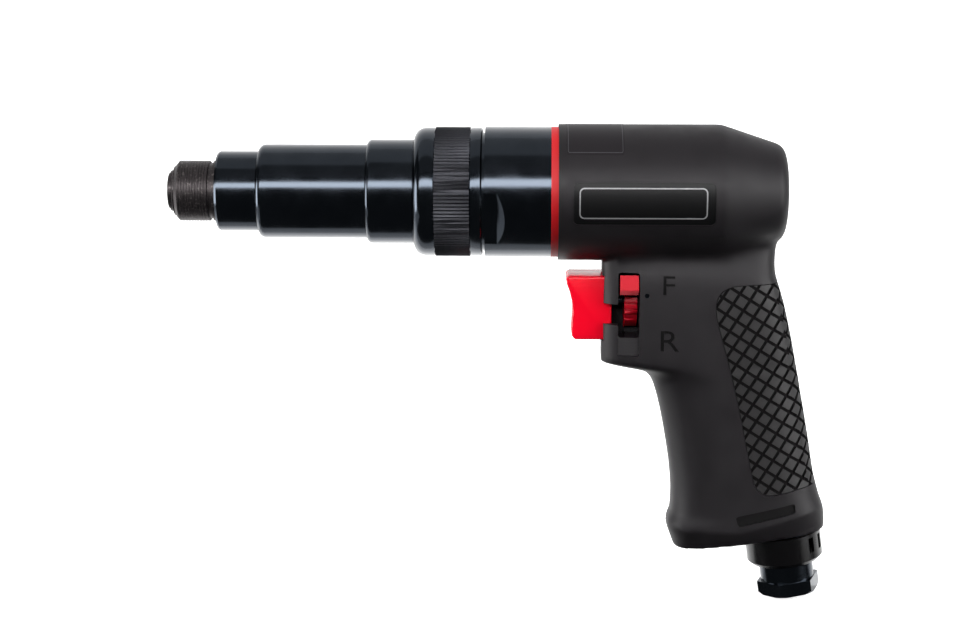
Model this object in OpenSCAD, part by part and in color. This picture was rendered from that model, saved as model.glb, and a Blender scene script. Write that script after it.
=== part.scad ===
// Pneumatic screwdriver with a pistol grip, an adjustable clutch and a quick-change chuck.
// The frame: +Z up, the nose points to -X, and the origin is where the spindle axis
// leaves the bit socket. Every length is in millimetres.

/* [Outside of the barrel] */
// Length of the chuck ahead of the nose cap
chuck_l = 16.8; // [15.5:0.1:18.5]
// Length of the first step, the nose cap
cap_l = 13.8; // [12.5:0.1:16.5]
// Radius of the nose cap
cap_r = 13.45; // [13:0.05:14]
// Length of the second step
step_l = 36.8; // [35.1:0.1:41.1]
// Radius of the second step
step_r = 15.8; // [15.5:0.05:16.2]
// Length of the third step
collar_l = 15.6; // [14.9:0.1:18.9]
// Radius of the third step
collar_r = 17.5; // [17.3:0.05:18.2]
// Length of the adjusting ring
ring_l = 23.1; // [22.5:0.1:26]
// Radius of the adjusting ring
ring_r = 21.6; // [20.8:0.05:23]
// Length of the gear housing that shows
case_l = 22.2; // [22:0.1:26]
// Step from the round part of the body down to the gear housing
case_step = 1.05; // [0.4:0.05:1.2]
// Thickness of the red trim ring
trim_t = 2.4; // [1.5:0.1:4]
// Length of the round part of the body
body_l = 54.8; // [54:0.1:62]
// Radius of the round part of the body
body_r = 23; // [22.8:0.05:25]
// Length of the body's tapered tail
tail_l = 22.5; // [18:0.1:26]
// Radius at the end of the tapered tail
tail_r = 16.2; // [13:0.1:18]
// Height of the domed end of the tail
tail_dome = 2.9; // [1.5:0.1:5]

/* [Chuck] */
// Radius of the chuck sleeve
sleeve_r = 10.2; // [9.8:0.05:11]
// Radius of the spindle's front shaft
shaft_r = 6; // [5.8:0.05:6.1]
// Width across the flats of the bit socket
socket_w = 6.35; // [6.3:0.01:6.45]
// Depth of the bit socket
socket_d = 20.5; // [18:0.1:24]
// Pull of the sleeve that frees the bit
sleeve_pull = 2; // [1.5:0.1:2]
// Radius of the ball that holds the bit
lock_ball_r = 1.75; // [1.6:0.01:1.8]
// Distance from the socket's mouth to the ball
lock_ball_x = 9; // [8.9:0.05:9.1]

/* [Clutch] */
// Radius of the bore that holds the clutch
clutch_bore_r = 15; // [14.6:0.05:15.05]
// Radius of each clutch ball
clutch_ball_r = 2.75; // [2.5:0.05:2.8]
// Radius of the circle that the clutch balls lie on
clutch_ball_circle = 9.5; // [9.3:0.05:9.6]
// Number of clutch balls
clutch_balls_n = 3; // [2:1:4]
// Lift of the driving cam when the clutch slips
clutch_lift = 2.2; // [1.5:0.1:2.5]
// Wire radius of the clutch spring
clutch_wire_r = 1.1; // [0.9:0.05:1.2]
// Turns of the clutch spring
clutch_turns = 6; // [4:1:7]
// Width across the flats of the output shaft's hexagon
drive_w = 10; // [9:0.1:10.2]
// Travel of the torque nut
nut_travel = 4; // [2:0.1:4.5]
// Length of the torque nut
nut_l = 6; // [5:0.1:6.5]
// Width of each lug of the torque nut
lug_w = 8; // [6:0.1:9]
// Teeth of the adjusting ring's knurl
knurl_n = 110; // [80:2:150]
// Depth of the knurl's teeth
knurl_d = 0.35; // [0.2:0.05:0.5]

/* [Gears] */
// Wall of the gear housing round the ring gear
case_wall = 2.24; // [2:0.02:2.6]
// Pressure angle of the gears
pressure_angle = 25; // [23:0.5:26]
// Clearance between tooth flanks, both sides together
backlash = 0.2; // [0.15:0.01:0.3]
// Width of the planet gears
planet_l = 6; // [5:0.1:6.5]
// Radius of the planet pins
pin_r = 1.5; // [1.2:0.05:1.8]
// Thickness of the output shaft's carrier plate
out_plate_t = 4; // [3:0.1:4.5]
// Thickness of the first stage's carrier plate
in_plate_t = 3.5; // [3:0.1:4]

/* [Motor] */
// Wall of the body round the air motor
body_wall = 3.6; // [3.2:0.05:4]
// Length of the air motor's cylinder
motor_l = 36; // [34:0.1:36.5]
// Wall of the air motor's cylinder, as if its bore were central
cylinder_wall = 4.2; // [4:0.05:4.4]
// Offset of the cylinder's bore from the rotor's axis
motor_offset = 1.6; // [1.4:0.05:1.7]
// Gap between the rotor and the bore where they are nearest
rotor_gap = 0.1; // [0.05:0.05:0.5]
// Number of vanes
vanes_n = 5; // [4:1:6]
// Thickness of each vane
vane_t = 1.6; // [1.2:0.1:2]
// Depth of the vane slots
vane_d = 6.5; // [5:0.1:7]
// Thickness of the motor's front plate
front_plate_t = 8; // [7.6:0.1:8.5]
// Thickness of the motor's rear plate
rear_plate_t = 7.5; // [6.8:0.1:7.8]

/* [Bearings] */
// Radius of the spindle bearing
spindle_bearing_r = 14; // [13.5:0.05:14.1]
// Width of the spindle bearing
spindle_bearing_t = 8; // [7:0.1:9]
// Radius of the output shaft's bearing
out_bearing_r = 12; // [11:0.05:12.5]
// Width of the output shaft's bearing
out_bearing_t = 6; // [5:0.1:6]
// Radius of the rotor's front bearing
front_bearing_r = 11; // [10:0.05:12]
// Width of the rotor's front bearing
front_bearing_t = 7; // [6:0.1:7]
// Radius of the rotor's rear bearing
rear_bearing_r = 9.5; // [9:0.05:10.5]
// Width of the rotor's rear bearing
rear_bearing_t = 6; // [5:0.1:6.2]
// Radius of the rotor's front journal
front_journal_r = 4; // [3.6:0.05:4.4]
// Radius of the rotor's rear journal
rear_journal_r = 3; // [2.7:0.05:3.4]

/* [Handle] */
// Height of the handle below the spindle axis
handle_h = 126; // [124:0.5:132]
// Reach of the handle from the trigger column's face to the heel
handle_d = 77.6; // [76.5:0.1:80]
// Width of the handle at its foot
handle_w = 31.2; // [30.6:0.1:34]
// Distance from the body's front to the trigger column's face
column_offset = 15.1; // [15:0.1:15.5]
// Depth of the grip pad's recess
grip_t = 1.2; // [0.8:0.1:1.8]
// Distance between the grooves that part the grip pad's studs
stud_pitch = 6.4; // [5:0.1:8]
// Width of these grooves
stud_groove_w = 2; // [1.2:0.1:2.4]

/* [Trigger and valves] */
// Travel of the trigger
trigger_travel = 4; // [3:0.1:4]
// Width of the trigger
trigger_w = 15.2; // [13:0.1:15.4]
// Height of the trigger
trigger_h = 21.8; // [20.6:0.1:22]
// Reach of the trigger ahead of the column's face
trigger_reach = 12.3; // [10:0.1:15]
// Distance of the valve axis below the spindle axis
valve_drop = 37.1; // [36.9:0.1:37.5]
// Radius of the turning reverse valve
valve_r = 6.5; // [6.3:0.05:6.6]
// Radius of the liner that the reverse valve turns in
liner_r = 8; // [7.6:0.05:8.2]
// Radius of the throttle stem
stem_r = 1.5; // [1.2:0.05:1.7]
// Swing of the reverse lever to each side of level
lever_swing = 32; // [26:1:32]
// Radius at which the lever's knob lies
knob_reach = 13.6; // [13.4:0.1:14]
// Radius of the pin that holds the reverse valve in
keeper_r = 0.8; // [0.6:0.05:0.9]

/* [Air inlet] */
// Distance from the trigger column's face to the inlet's centre in the foot
inlet_offset = 63.5; // [62.9:0.1:64.1]
// Tilt of the inlet and of the foot's plane
inlet_tilt = 8; // [6.5:0.5:9]
// Radius of the exhaust deflector
deflector_r = 13.1; // [12.7:0.05:13.4]
// Length of the exhaust deflector
deflector_l = 10.3; // [9:0.1:11.5]
// Distance from the foot to the hexagon of the inlet
inlet_neck_l = 17.1; // [15.5:0.1:18.5]
// Width across the flats of the inlet's hexagon
inlet_hex_w = 19; // [19:0.1:22]
// Thickness of the inlet's hexagon
inlet_hex_t = 4.8; // [4:0.1:6.5]
// Radius of the inlet's threaded hole
inlet_thread_r = 5.9; // [5.7:0.05:6.2]
// Depth of the inlet's threaded hole
inlet_thread_l = 12; // [10:0.5:14]

/* [Fits] */
// Radial clearance of a running fit
run_fit = 0.05; // [0.03:0.01:0.08]
// Radial clearance of a fixed seat
seat_fit = 0.02; // [0.01:0.01:0.04]
// Gap between faces that move past each other
face_gap = 0.3; // [0.2:0.05:0.4]

/* [Hidden] */

// Smoothness of round surfaces, and how far a cut runs past what it cuts
$fn = 96;
cut = 1;
// Places along the barrel, from the nose back
cap_x = chuck_l;
step_x = cap_x + cap_l;
collar_x = step_x + step_l;
ring_x = collar_x + collar_l + face_gap;
washer_x = ring_x + ring_l;
washer_t = 0.9;
case_x = washer_x + washer_t;
trim_x = case_x + case_l;
body_x = trim_x + trim_t;
tail_x = body_x + body_l;
end_x = tail_x + tail_l;

// Chuck: circlip, washer and spring ahead of the sleeve's land, from the tip back
circlip_t = 0.8;
circlip_x = 0.7;
circlip_groove_d = 0.8;
circlip_d = 0.9;
circlip_r = shaft_r + circlip_d;
chuck_washer_x = circlip_x + circlip_t;
chuck_washer_t = 0.9;
chuck_pocket_wall = 1.8;
chuck_pocket_r = sleeve_r - chuck_pocket_wall;
chuck_spring_x = chuck_washer_x + chuck_washer_t;
chuck_wire_r = 0.4;
chuck_turns = 2;
chuck_spring_spare = 0.2;
land_x = chuck_spring_x + sleeve_pull + 2 * chuck_wire_r * (chuck_turns + 1) + chuck_spring_spare;
land_ahead = 0.4;
washer_shows = 1.1;
sleeve_x = chuck_washer_x + washer_shows;
sleeve_cone_l = 1.1;
sleeve_cone_d = 1.3;
sleeve_edge = 0.25;
flange_l = 2.5;
flange_gap = 0.3;
flange_x = cap_x - flange_gap - flange_l;
flange_groove_l = 1.4;
flange_groove_d = 0.75;
relief_d = 1.2;
relief_r = shaft_r + relief_d;
relief_l = 1.9;
// Radius of the lock ball's centre when it holds the bit, just inside the shaft's surface
lock_ball_sink = 0.05;
lock_ball_centre = shaft_r - lock_ball_r - lock_ball_sink;
lock_ball_fit = 0.05;

// Nose cap, bush and seal
cap_chamfer_l = 0.7;
cap_chamfer_d = 0.5;
spigot_l = 7.4;
spigot_r = 12;
bush_r = 9;
bush_lip = 1.3;
bush_l = 10.5;
seal_r = 0.95;
seal_setback = 1.4;
seal_x = step_x + seal_setback;
groove_spare = 0.2;
seal_groove_l = 2 * seal_r + groove_spare;
cap_bore_r = 10;
shaft_clear = 1;

// Torque nut, thrust bearing and clutch spring, from the adjusting ring forward
nut_setback = 6.4;
nut_x = washer_x - nut_setback - nut_l;
race_t = 1;
thrust_ball_r = 0.8;
thrust_balls_n = 16;
thrust_t = 2 * race_t + 2 * thrust_ball_r;
thrust_x = nut_x - thrust_t;
clutch_spring_spare = 0.7;
clutch_spring_l = 2 * clutch_wire_r * (clutch_turns + 1) + nut_travel + clutch_lift
    + clutch_spring_spare;
clutch_spring_x = thrust_x - clutch_spring_l;
clutch_spring_r = 9.4;

// Cams, spindle flange and spindle bearing, on forward
washer_ring_t = 1.2;
cam_gap = 1;
cam_t = 6;
cam_x = clutch_spring_x - washer_ring_t - cam_t;
cam_clear = 1.6;
cam_r = clutch_bore_r - cam_clear;
washer_step = 1.4;
washer_ring_r = cam_r - washer_step;
ball_x = cam_x - cam_gap / 2;
ball_pocket_fit = 0.12;
spindle_flange_t = 5;
spindle_flange_x = cam_x - cam_gap - spindle_flange_t;
flange_clear = 2;
spindle_flange_r = clutch_bore_r - flange_clear;
shoulder_r = 8;
shoulder_l = 5;
shoulder_x = spindle_flange_x - shoulder_l;
bearing_x = shoulder_x - spindle_bearing_t;
pilot_r = 3;
pilot_l = 4.8;
pilot_depth = 5.6;
pilot_gap = 0.2;
hex_fit = 0.06;
hex_corner_share = 1 / cos(30);
washer_bore_fit = 0.2;
washer_bore_r = drive_w / 2 * hex_corner_share + washer_bore_fit;
thrust_r = 12;
thrust_bore_fit = 0.4;
thrust_bore_r = washer_bore_r + thrust_bore_fit;
thrust_circle = (thrust_r + thrust_bore_r) / 2;
nut_bore_fit = 1;
nut_bore_r = washer_bore_r + nut_bore_fit;
nut_r = clutch_bore_r - 2 * run_fit;
ring_wall = 3.5;
ring_bore_r = ring_r - ring_wall;
lug_fit = 0.2;
lug_r = ring_bore_r - lug_fit;
slot_fit = 0.15;
slot_x = nut_x - nut_travel - face_gap;
ring_lip_gap = 2.5;
ring_lip_l = nut_x - nut_travel - ring_lip_gap - ring_x;
sleeve_step_d = 0.7;
sleeve_step_r = collar_r - sleeve_step_d;
ring_lip_r = sleeve_step_r + 2 * run_fit;
ring_face_w = 0.1;
ring_round = ring_r - collar_r - ring_face_w;
knurl_ahead = 7.3;
knurl_x = ring_x + knurl_ahead;
knurl_spare = 11.4;
knurl_l = ring_l - knurl_spare;
knurl_step = 0.2;
knurl_edge = 0.5;
ring_seal_r = 0.85;
ring_seal_setback = 1.7;
ring_seal_x = washer_x - ring_seal_setback;
ring_seal_centre = ring_bore_r - run_fit - ring_seal_r;
ring_washer_step = 1.6;
ring_washer_r = ring_r - ring_washer_step;

// Gear train, from the motor forward
trim_land = 1.45;
case_spigot_l = 5.2;
case_end_x = body_x + case_spigot_l;
case_r = body_r - case_step;
case_spigot_r = case_r - trim_land;
case_bore_r = case_spigot_r - case_wall;
// Teeth of each sun gear and of each planet: both multiples of three, the planets' even
sun_n = 15;
planet_n = 12;
ring_n = sun_n + 2 * planet_n;
add_share = 0.8;
ded_share = 1.05;
ring_gear_r = case_bore_r - seat_fit;
ring_gear_wall = 1.8;
gear_m = (ring_gear_r - ring_gear_wall) / (ring_n / 2 + ded_share);
gear_add = add_share * gear_m;
gear_ded = ded_share * gear_m;
gear_centre = gear_m * (sun_n + planet_n) / 2;
sun_root_r = gear_m * sun_n / 2 - gear_ded;
plate_clear = 0.6;
out_plate_r = gear_m * ring_n / 2 - gear_add - plate_clear;
side_gap = 0.4;
stage_gap = 1.1;
pinion_clear = 2.9;
pin_past = 0.4;
sun_past = 0.2;
in_planet_x = case_end_x - pinion_clear - planet_l;
in_plate_x = in_planet_x - side_gap - in_plate_t;
in_sun_x = in_planet_x - sun_past;
out_planet_x = in_plate_x - stage_gap - planet_l;
out_plate_x = out_planet_x - side_gap - out_plate_t;
out_sun_x = out_planet_x - sun_past;
plate_gap = 0.5;
spigot_end_x = out_plate_x - plate_gap;
holder_l = 8;
holder_x = spigot_end_x - holder_l;
holder_lip = 0.6;
holder_wall = holder_lip + seat_fit;
out_bearing_x = holder_x + holder_lip;
ring_gear_x = spigot_end_x + seat_fit;
ring_gear_l = case_end_x - ring_gear_x - seat_fit;
planet_bore_r = pin_r + run_fit;
pinion_l = planet_l + 3 * side_gap;
pinion_wall = 2.16;
pinion_bore_r = sun_root_r - pinion_wall;
flat_l = 4.2;
flat_ramp = 2.6;
flat_d = 2.1;
flat_turn = 19;

// Air motor
motor_r = body_r - body_wall;
motor_bore_r = motor_r - cylinder_wall;
rotor_r = motor_bore_r - motor_offset - rotor_gap;
front_plate_x = case_end_x;
motor_x = front_plate_x + front_plate_t;
rear_plate_x = motor_x + motor_l;
motor_end_x = rear_plate_x + rear_plate_t;
rotor_x = motor_x + side_gap / 2;
rotor_l = motor_l - side_gap;
plate_lip = front_plate_t - front_bearing_t;
rear_lip = rear_plate_t - rear_bearing_t;
journal_clear = 1;
vane_fit = 0.06;
vane_out = 0.05;
dowel_r = 1.2;
dowel_in = 2.4;
dowel_circle = motor_r - dowel_in;
port_r = 2.2;
port_y = 4;
motor_port_share = 0.56;
motor_port_x = motor_x + motor_l * motor_port_share;

// Radius of the small flat in the middle of the tail's dome
dome_flat_r = 3;

// Places of the handle, the column, the trigger and the valves
column_x = body_x + column_offset;
handle_half_w = handle_w / 2;
column_wall = 5.2;
window_x = column_x + column_wall;
window_l = 7.2;
window_h = 22;
window_reach = 9.4;
window_under_h = 5.9;
window_under_d = 1.6;
window_side_share = 0.89;
notch_h = 7.1;
notch_drop = 3;
pocket_fit = 0.4;
trigger_back = 3.2;
valve_x = column_x + trigger_back + trigger_travel + face_gap;
pocket_end_gap = 0.1;
pocket_l = valve_x - column_x + pocket_end_gap;
lever_x = valve_x;
lever_l = 4.2;
knob_ahead = 1.7;
knob_l = 6.2;
lever_hub_r = 8.9;
knob_h = 5.4;
knob_t = 4.2;
lever_ribs_n = 3;
lever_rib_d = 0.5;
lever_rib_w = 1;
lever_rib_step = 12;
key_w = 9;
key_fit = 0.04;
lever_end_gap = 0.4;
valve_front_l = lever_l + lever_end_gap;
liner_setback = 3.7;
liner_x = window_x + window_l + liner_setback;
keeper_setback = 2.4;
keeper_x = window_x + window_l + keeper_setback;
keeper_up = 3.9;
keeper_sink = 2;
keeper_l = 2 * handle_half_w * window_side_share - keeper_sink;
keeper_groove_fit = 0.4;
keeper_groove_l = 2 * keeper_r + keeper_groove_fit;
keeper_fit = 0.05;
keeper_groove_r = keeper_up - keeper_r - keeper_fit;
seat_setback = 15.2;
seat_x = liner_x + seat_setback;
valve_end_gap = 0.3;
valve_l = seat_x - valve_x - valve_end_gap;
valve_bore_r = 4.4;
valve_bore_l = 13;
seat_t = 3;
seat_hole_r = 2.6;
stem_head_r = 4.4;
stem_head_l = 2.6;
stem_seal_r = 0.6;
stem_seal_circle = 3.4;
stem_seal_x = seat_x + seat_t + stem_seal_r + run_fit;
stem_head_x = stem_seal_x + stem_seal_r + run_fit;
valve_spring_x = stem_head_x + stem_head_l;
valve_spring_l = 6.6;
valve_wire_r = 0.4;
valve_spring_r = 3.4;
valve_turns = 3;
liner_end_x = valve_spring_x + valve_spring_l;
liner_l = liner_end_x - liner_x;
trigger_wall = 6;
trigger_sink = 1.5;
trigger_top = valve_drop - trigger_h / 2 + trigger_sink;

// Air ways and the foot of the handle
inlet_x = column_x + inlet_offset;
foot_rise = 8.1;
foot_drop = handle_h - foot_rise;
feed_r = 3.4;
feed_setback = 5;
feed_x = liner_end_x - feed_setback;
exhaust_r = 2.8;
exhaust_y = 7.5;
exhaust_setback = 13.5;
exhaust_top_x = end_x - exhaust_setback;
exhaust_top_drop = 22;
exhaust_ahead = 8.9;
exhaust_foot_x = inlet_x - exhaust_ahead;
exhaust_rise = 8;
exhaust_foot_drop = foot_drop - exhaust_rise;
gallery_h = 7;
gallery_w = 2 * exhaust_y;
gallery_reach = 12;
gallery_x = rear_plate_x - gallery_reach;
gallery_end_x = exhaust_top_x + exhaust_r / 2;
gallery_ports_n = 2;
journal_r = 8.7;
neck_r = 9.3;
shank_r = 6.8;
foot_cavity_d = 9;
cavity_wall = 1.6;
foot_cavity_r = deflector_r - cavity_wall;
shank_l = 13;
inlet_seal_r = 0.7;
inlet_hex_chamfer = 1;
inlet_hex_turn = -10;
muffler_fit = 0.2;
muffler_r = foot_cavity_r - muffler_fit;
muffler_bore_fit = 0.1;
muffler_bore_r = neck_r + muffler_bore_fit;
muffler_sink = 0.8;
muffler_l = foot_cavity_d - muffler_sink;
deflector_gap = 0.3;
deflector_wall = 1.2;
deflector_cone = 1.4;
deflector_floor = 2.4;
deflector_slots_n = 5;
deflector_slot_w = 2.4;
deflector_slot_step = 24;

// The handle's cross sections from the top down: shares of its height, of its reach to the front
// and to the back, and of half its width, then how blunt the section is
handle_shares = [
    [0.071, 0.020, 0.745, 0.68, 3.4], [0.135, 0.000, 0.756, 0.78, 3.6],
    [0.177, 0.000, 0.752, 0.83, 3.6], [0.206, 0.000, 0.752, 0.85, 3.6],
    [0.238, 0.000, 0.767, 0.87, 3.6], [0.292, 0.000, 0.794, 0.89, 3.6],
    [0.342, 0.000, 0.814, 0.90, 3.6], [0.397, 0.000, 0.834, 0.91, 3.5],
    [0.440, 0.000, 0.848, 0.915, 3.4], [0.455, 0.016, 0.853, 0.915, 3.3],
    [0.466, 0.077, 0.857, 0.915, 3.1], [0.478, 0.170, 0.861, 0.92, 2.8],
    [0.500, 0.214, 0.869, 0.92, 2.6], [0.532, 0.236, 0.878, 0.92, 2.6],
    [0.595, 0.263, 0.898, 0.925, 2.6], [0.679, 0.289, 0.923, 0.94, 2.6],
    [0.762, 0.309, 0.946, 0.96, 2.6], [0.825, 0.316, 0.973, 0.97, 2.7],
    [0.873, 0.316, 0.995, 0.985, 2.8], [0.909, 0.303, 1.000, 1.00, 3.0],
    [0.952, 0.320, 0.987, 1.00, 3.0], [1.008, 0.352, 0.970, 0.960, 3.0]
];
handle_sides = 36;
// The grip pad's outline on the handle's side, as shares of the reach and of the height
grip_shares = [
    [0.500, 0.345], [0.487, 0.310], [0.487, 0.280], [0.505, 0.255], [0.545, 0.239],
    [0.600, 0.234], [0.780, 0.234], [1.100, 0.234], [1.100, 0.792], [0.925, 0.788],
    [0.770, 0.810], [0.710, 0.808], [0.672, 0.785], [0.655, 0.745], [0.580, 0.520]
];
// The pad's studs: its middle, as such shares, the sections at its top and foot, the slant of the
// grooves to its run, and how much of the pad is left under them
pad_middle_share = [0.76, 0.52];
pad_top_row = 4;
pad_foot_row = 17;
stud_slant = 45;
stud_web = 0.4;
// The trigger's front, from the lip down: shares of its reach and of its height
trigger_shares = [
    [0.06, 0.00], [0.00, 0.05], [0.02, 0.12], [0.10, 0.24], [0.16, 0.38],
    [0.19, 0.55], [0.17, 0.75], [0.15, 0.86], [0.17, 0.94], [0.25, 1.00]
];

// Colours
black_steel = [0.09, 0.11, 0.14];
dark_steel = [0.24, 0.22, 0.21];
plain_steel = [0.62, 0.63, 0.65];
bronze = [0.70, 0.52, 0.28];
brass = [0.78, 0.64, 0.32];
black_plastic = [0.14, 0.13, 0.14];
black_rubber = [0.08, 0.08, 0.08];
red_plastic = [0.85, 0.02, 0.12];
red_ring = [0.78, 0.10, 0.10];
vane_brown = [0.42, 0.30, 0.20];

// Points of an arc, in (radius, place) or (x, y), from angle a to angle b
function arc(cx, cy, r, a, b, n = 6) =
    [for (i = [0 : n]) [cx + r * cos(a + (b - a) * i / n), cy + r * sin(a + (b - a) * i / n)]];

// Local +Z laid along +X, from place x on the barrel's axis
module at_x(x, drop = 0) {
    translate([x, 0, -drop]) rotate([0, 90, 0]) children();
}

module rod(x, l, r, drop = 0) {
    at_x(x, drop) cylinder(h = l, r = r);
}

module tube(x, l, r, bore, drop = 0) {
    difference() {
        rod(x, l, r, drop);
        rod(x - cut, l + 2 * cut, bore, drop);
    }
}

// A turned piece on the barrel's axis, from (radius, place) points
module turned(outline) {
    rotate([0, 90, 0]) rotate_extrude() polygon(outline);
}

module hex_rod(x, l, w) {
    at_x(x) cylinder(h = l, r = w / 2 * hex_corner_share, $fn = 6);
}

// A straight round bar from point a to point b
module bar(a, b, r) {
    d = b - a;
    translate(a) rotate([0, acos(d.z / norm(d)), atan2(d.y, d.x)]) cylinder(h = norm(d), r = r);
}

// Local +Z laid out of the foot of the handle, along the air inlet
module at_inlet(out = 0) {
    translate([inlet_x, 0, -foot_drop]) rotate([0, 180 - inlet_tilt, 0])
        translate([0, 0, out]) children();
}

// A coil spring as one tube along +Z, ground flat at neither end
module coil(l, r, wire_r, turns, steps = 10, sides = 6) {
    n = turns * steps;
    rise = (l - 2 * wire_r) / n;
    points = [
        for (i = [0 : n], j = [0 : sides - 1])
            let (a = 360 * i / steps, b = 360 * j / sides, d = r + wire_r * cos(b))
                [d * cos(a), d * sin(a), wire_r + rise * i + wire_r * sin(b)]
    ];
    faces = concat(
        [[for (j = [0 : sides - 1]) j]],
        [for (i = [0 : n - 1], j = [0 : sides - 1])
            let (k = (j + 1) % sides) [i * sides + j, (i + 1) * sides + j, i * sides + k]],
        [for (i = [0 : n - 1], j = [0 : sides - 1])
            let (k = (j + 1) % sides) [i * sides + k, (i + 1) * sides + j, (i + 1) * sides + k]],
        [[for (j = [sides - 1 : -1 : 0]) n * sides + j]]
    );
    polyhedron(points, faces);
}

// Involute gear outline with a tooth centred on the x axis; thin narrows the tooth
function involute(a) = tan(a) * 180 / PI - a;
function flank_angle(m, n, r, thin) =
    let (pitch_r = m * n / 2, base_r = pitch_r * cos(pressure_angle))
        90 / n - thin / 2 / pitch_r * 180 / PI + involute(pressure_angle)
            - involute(acos(min(1, base_r / r)));
function gear_outline(m, n, add, ded, thin) =
    let (
        pitch_r = m * n / 2,
        base_r = pitch_r * cos(pressure_angle),
        root_r = pitch_r - ded,
        start_r = max(base_r, root_r + ded / 8),
        tip_r = pitch_r + add,
        radii = [root_r, start_r, (start_r + tip_r) / 2, tip_r]
    )
    [for (t = [0 : n - 1], s = [-1, 1], i = [0 : len(radii) - 1])
        let (
            r = s < 0 ? radii[i] : radii[len(radii) - 1 - i],
            a = 360 * t / n + s * flank_angle(m, n, r, thin)
        )
        [r * cos(a), r * sin(a)]];

module spur_gear(l, n, turn = 0) {
    linear_extrude(l) rotate(turn)
        polygon(gear_outline(gear_m, n, gear_add, gear_ded, backlash / 2));
}

// One ring of the handle's skin, grown or shrunk evenly
function handle_ring(row, grow) =
    let (
        front = column_x + handle_d * row[1] - grow,
        back = column_x + handle_d * row[2] + grow,
        half_w = handle_half_w * row[3] + grow,
        power = 2 / row[4],
        mid = (front + back) / 2,
        half = (back - front) / 2
    )
    [for (i = [0 : handle_sides - 1])
        let (a = 360 * i / handle_sides, c = cos(a), s = sin(a))
            [mid + half * sign(c) * pow(abs(c), power),
             half_w * sign(s) * pow(abs(s), power),
             -handle_h * row[0]]];

module handle_form(grow = 0) {
    rings = [for (row = handle_shares) handle_ring(row, grow)];
    n = len(rings);
    points = [for (ring = rings, p = ring) p];
    faces = concat(
        [[for (j = [handle_sides - 1 : -1 : 0]) j]],
        [for (i = [0 : n - 2], j = [0 : handle_sides - 1])
            let (k = (j + 1) % handle_sides, a = i * handle_sides, b = a + handle_sides)
                [a + j, a + k, b + j]],
        [for (i = [0 : n - 2], j = [0 : handle_sides - 1])
            let (k = (j + 1) % handle_sides, a = i * handle_sides, b = a + handle_sides)
                [a + k, b + k, b + j]],
        [[for (j = [0 : handle_sides - 1]) (n - 1) * handle_sides + j]]
    );
    polyhedron(points, faces);
}

// A ball bearing shown closed: two races and the shields sunk between them
race_share = 0.22;
shield_share = 0.08;
module bearing(x, t, r, bore) {
    race = (r - bore) * race_share;
    sink = t * shield_share;
    color(plain_steel) turned([
        [bore, x], [bore + race, x], [bore + race, x + sink], [r - race, x + sink],
        [r - race, x], [r, x], [r, x + t], [r - race, x + t], [r - race, x + t - sink],
        [bore + race, x + t - sink], [bore + race, x + t], [bore, x + t]
    ]);
}

// Copies on a circle round the barrel's axis, with the first straight up
module around(n, first = 0) {
    for (i = [0 : n - 1]) rotate([first + 360 * i / n, 0, 0]) children();
}

module chuck_circlip() {
    color(plain_steel) difference() {
        tube(circlip_x, circlip_t, circlip_r, shaft_r - circlip_groove_d + seat_fit);
        translate([circlip_x - cut, -circlip_t, -circlip_r - cut])
            cube([circlip_t + 2 * cut, 2 * circlip_t, circlip_r + cut]);
    }
}

module chuck_washer() {
    washer_r = chuck_pocket_r - run_fit;
    color(dark_steel) turned([
        [shaft_r + run_fit, chuck_washer_x], [circlip_r, chuck_washer_x],
        [washer_r, chuck_washer_x + chuck_washer_t / 2],
        [washer_r, chuck_washer_x + chuck_washer_t],
        [shaft_r + run_fit, chuck_washer_x + chuck_washer_t]
    ]);
}

module chuck_spring() {
    color(plain_steel) at_x(chuck_spring_x + seat_fit)
        coil(land_x - chuck_spring_x - 2 * seat_fit, (shaft_r + chuck_pocket_r) / 2,
            chuck_wire_r, chuck_turns, 12);
}

module chuck_sleeve() {
    ramp_x = lock_ball_x - land_ahead;
    color(dark_steel) turned([
        [chuck_pocket_r, sleeve_x],
        [sleeve_r - sleeve_cone_d, sleeve_x], [sleeve_r, sleeve_x + sleeve_cone_l],
        [sleeve_r, flange_x - sleeve_edge], [sleeve_r - sleeve_edge, flange_x],
        [relief_r, flange_x], [relief_r, ramp_x + relief_l],
        [shaft_r + run_fit, ramp_x], [shaft_r + run_fit, land_x],
        [chuck_pocket_r, land_x]
    ]);
}

module lock_ball() {
    color(plain_steel) translate([lock_ball_x, 0, lock_ball_centre]) sphere(r = lock_ball_r);
}

module spindle() {
    pocket_r = clutch_ball_r + ball_pocket_fit;
    flange_end = spindle_flange_x + spindle_flange_t;
    color(dark_steel) difference() {
        union() {
            rod(0, shoulder_x, shaft_r);
            rod(flange_x, flange_l, sleeve_r - flange_groove_d);
            rod(flange_x + flange_groove_l, flange_l - flange_groove_l, sleeve_r);
            rod(shoulder_x, shoulder_l, shoulder_r);
            rod(spindle_flange_x, spindle_flange_t, spindle_flange_r);
        }
        tube(circlip_x, circlip_t, shaft_r + cut, shaft_r - circlip_groove_d);
        hex_rod(-cut, socket_d + cut, socket_w);
        translate([lock_ball_x, 0, 0]) cylinder(h = shaft_r + cut, r = lock_ball_r + lock_ball_fit);
        rod(flange_end - pilot_depth, pilot_depth + cut, pilot_r + run_fit);
        around(clutch_balls_n) translate([ball_x, 0, clutch_ball_circle]) sphere(r = pocket_r);
    }
}

module nose_bush() {
    color(bronze) tube(cap_x + bush_lip, bush_l, bush_r, shaft_r + run_fit);
}

module nose_seal() {
    color(black_rubber) at_x(seal_x) rotate_extrude()
        translate([shaft_r + run_fit + seal_r, 0]) circle(r = seal_r);
}

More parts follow.
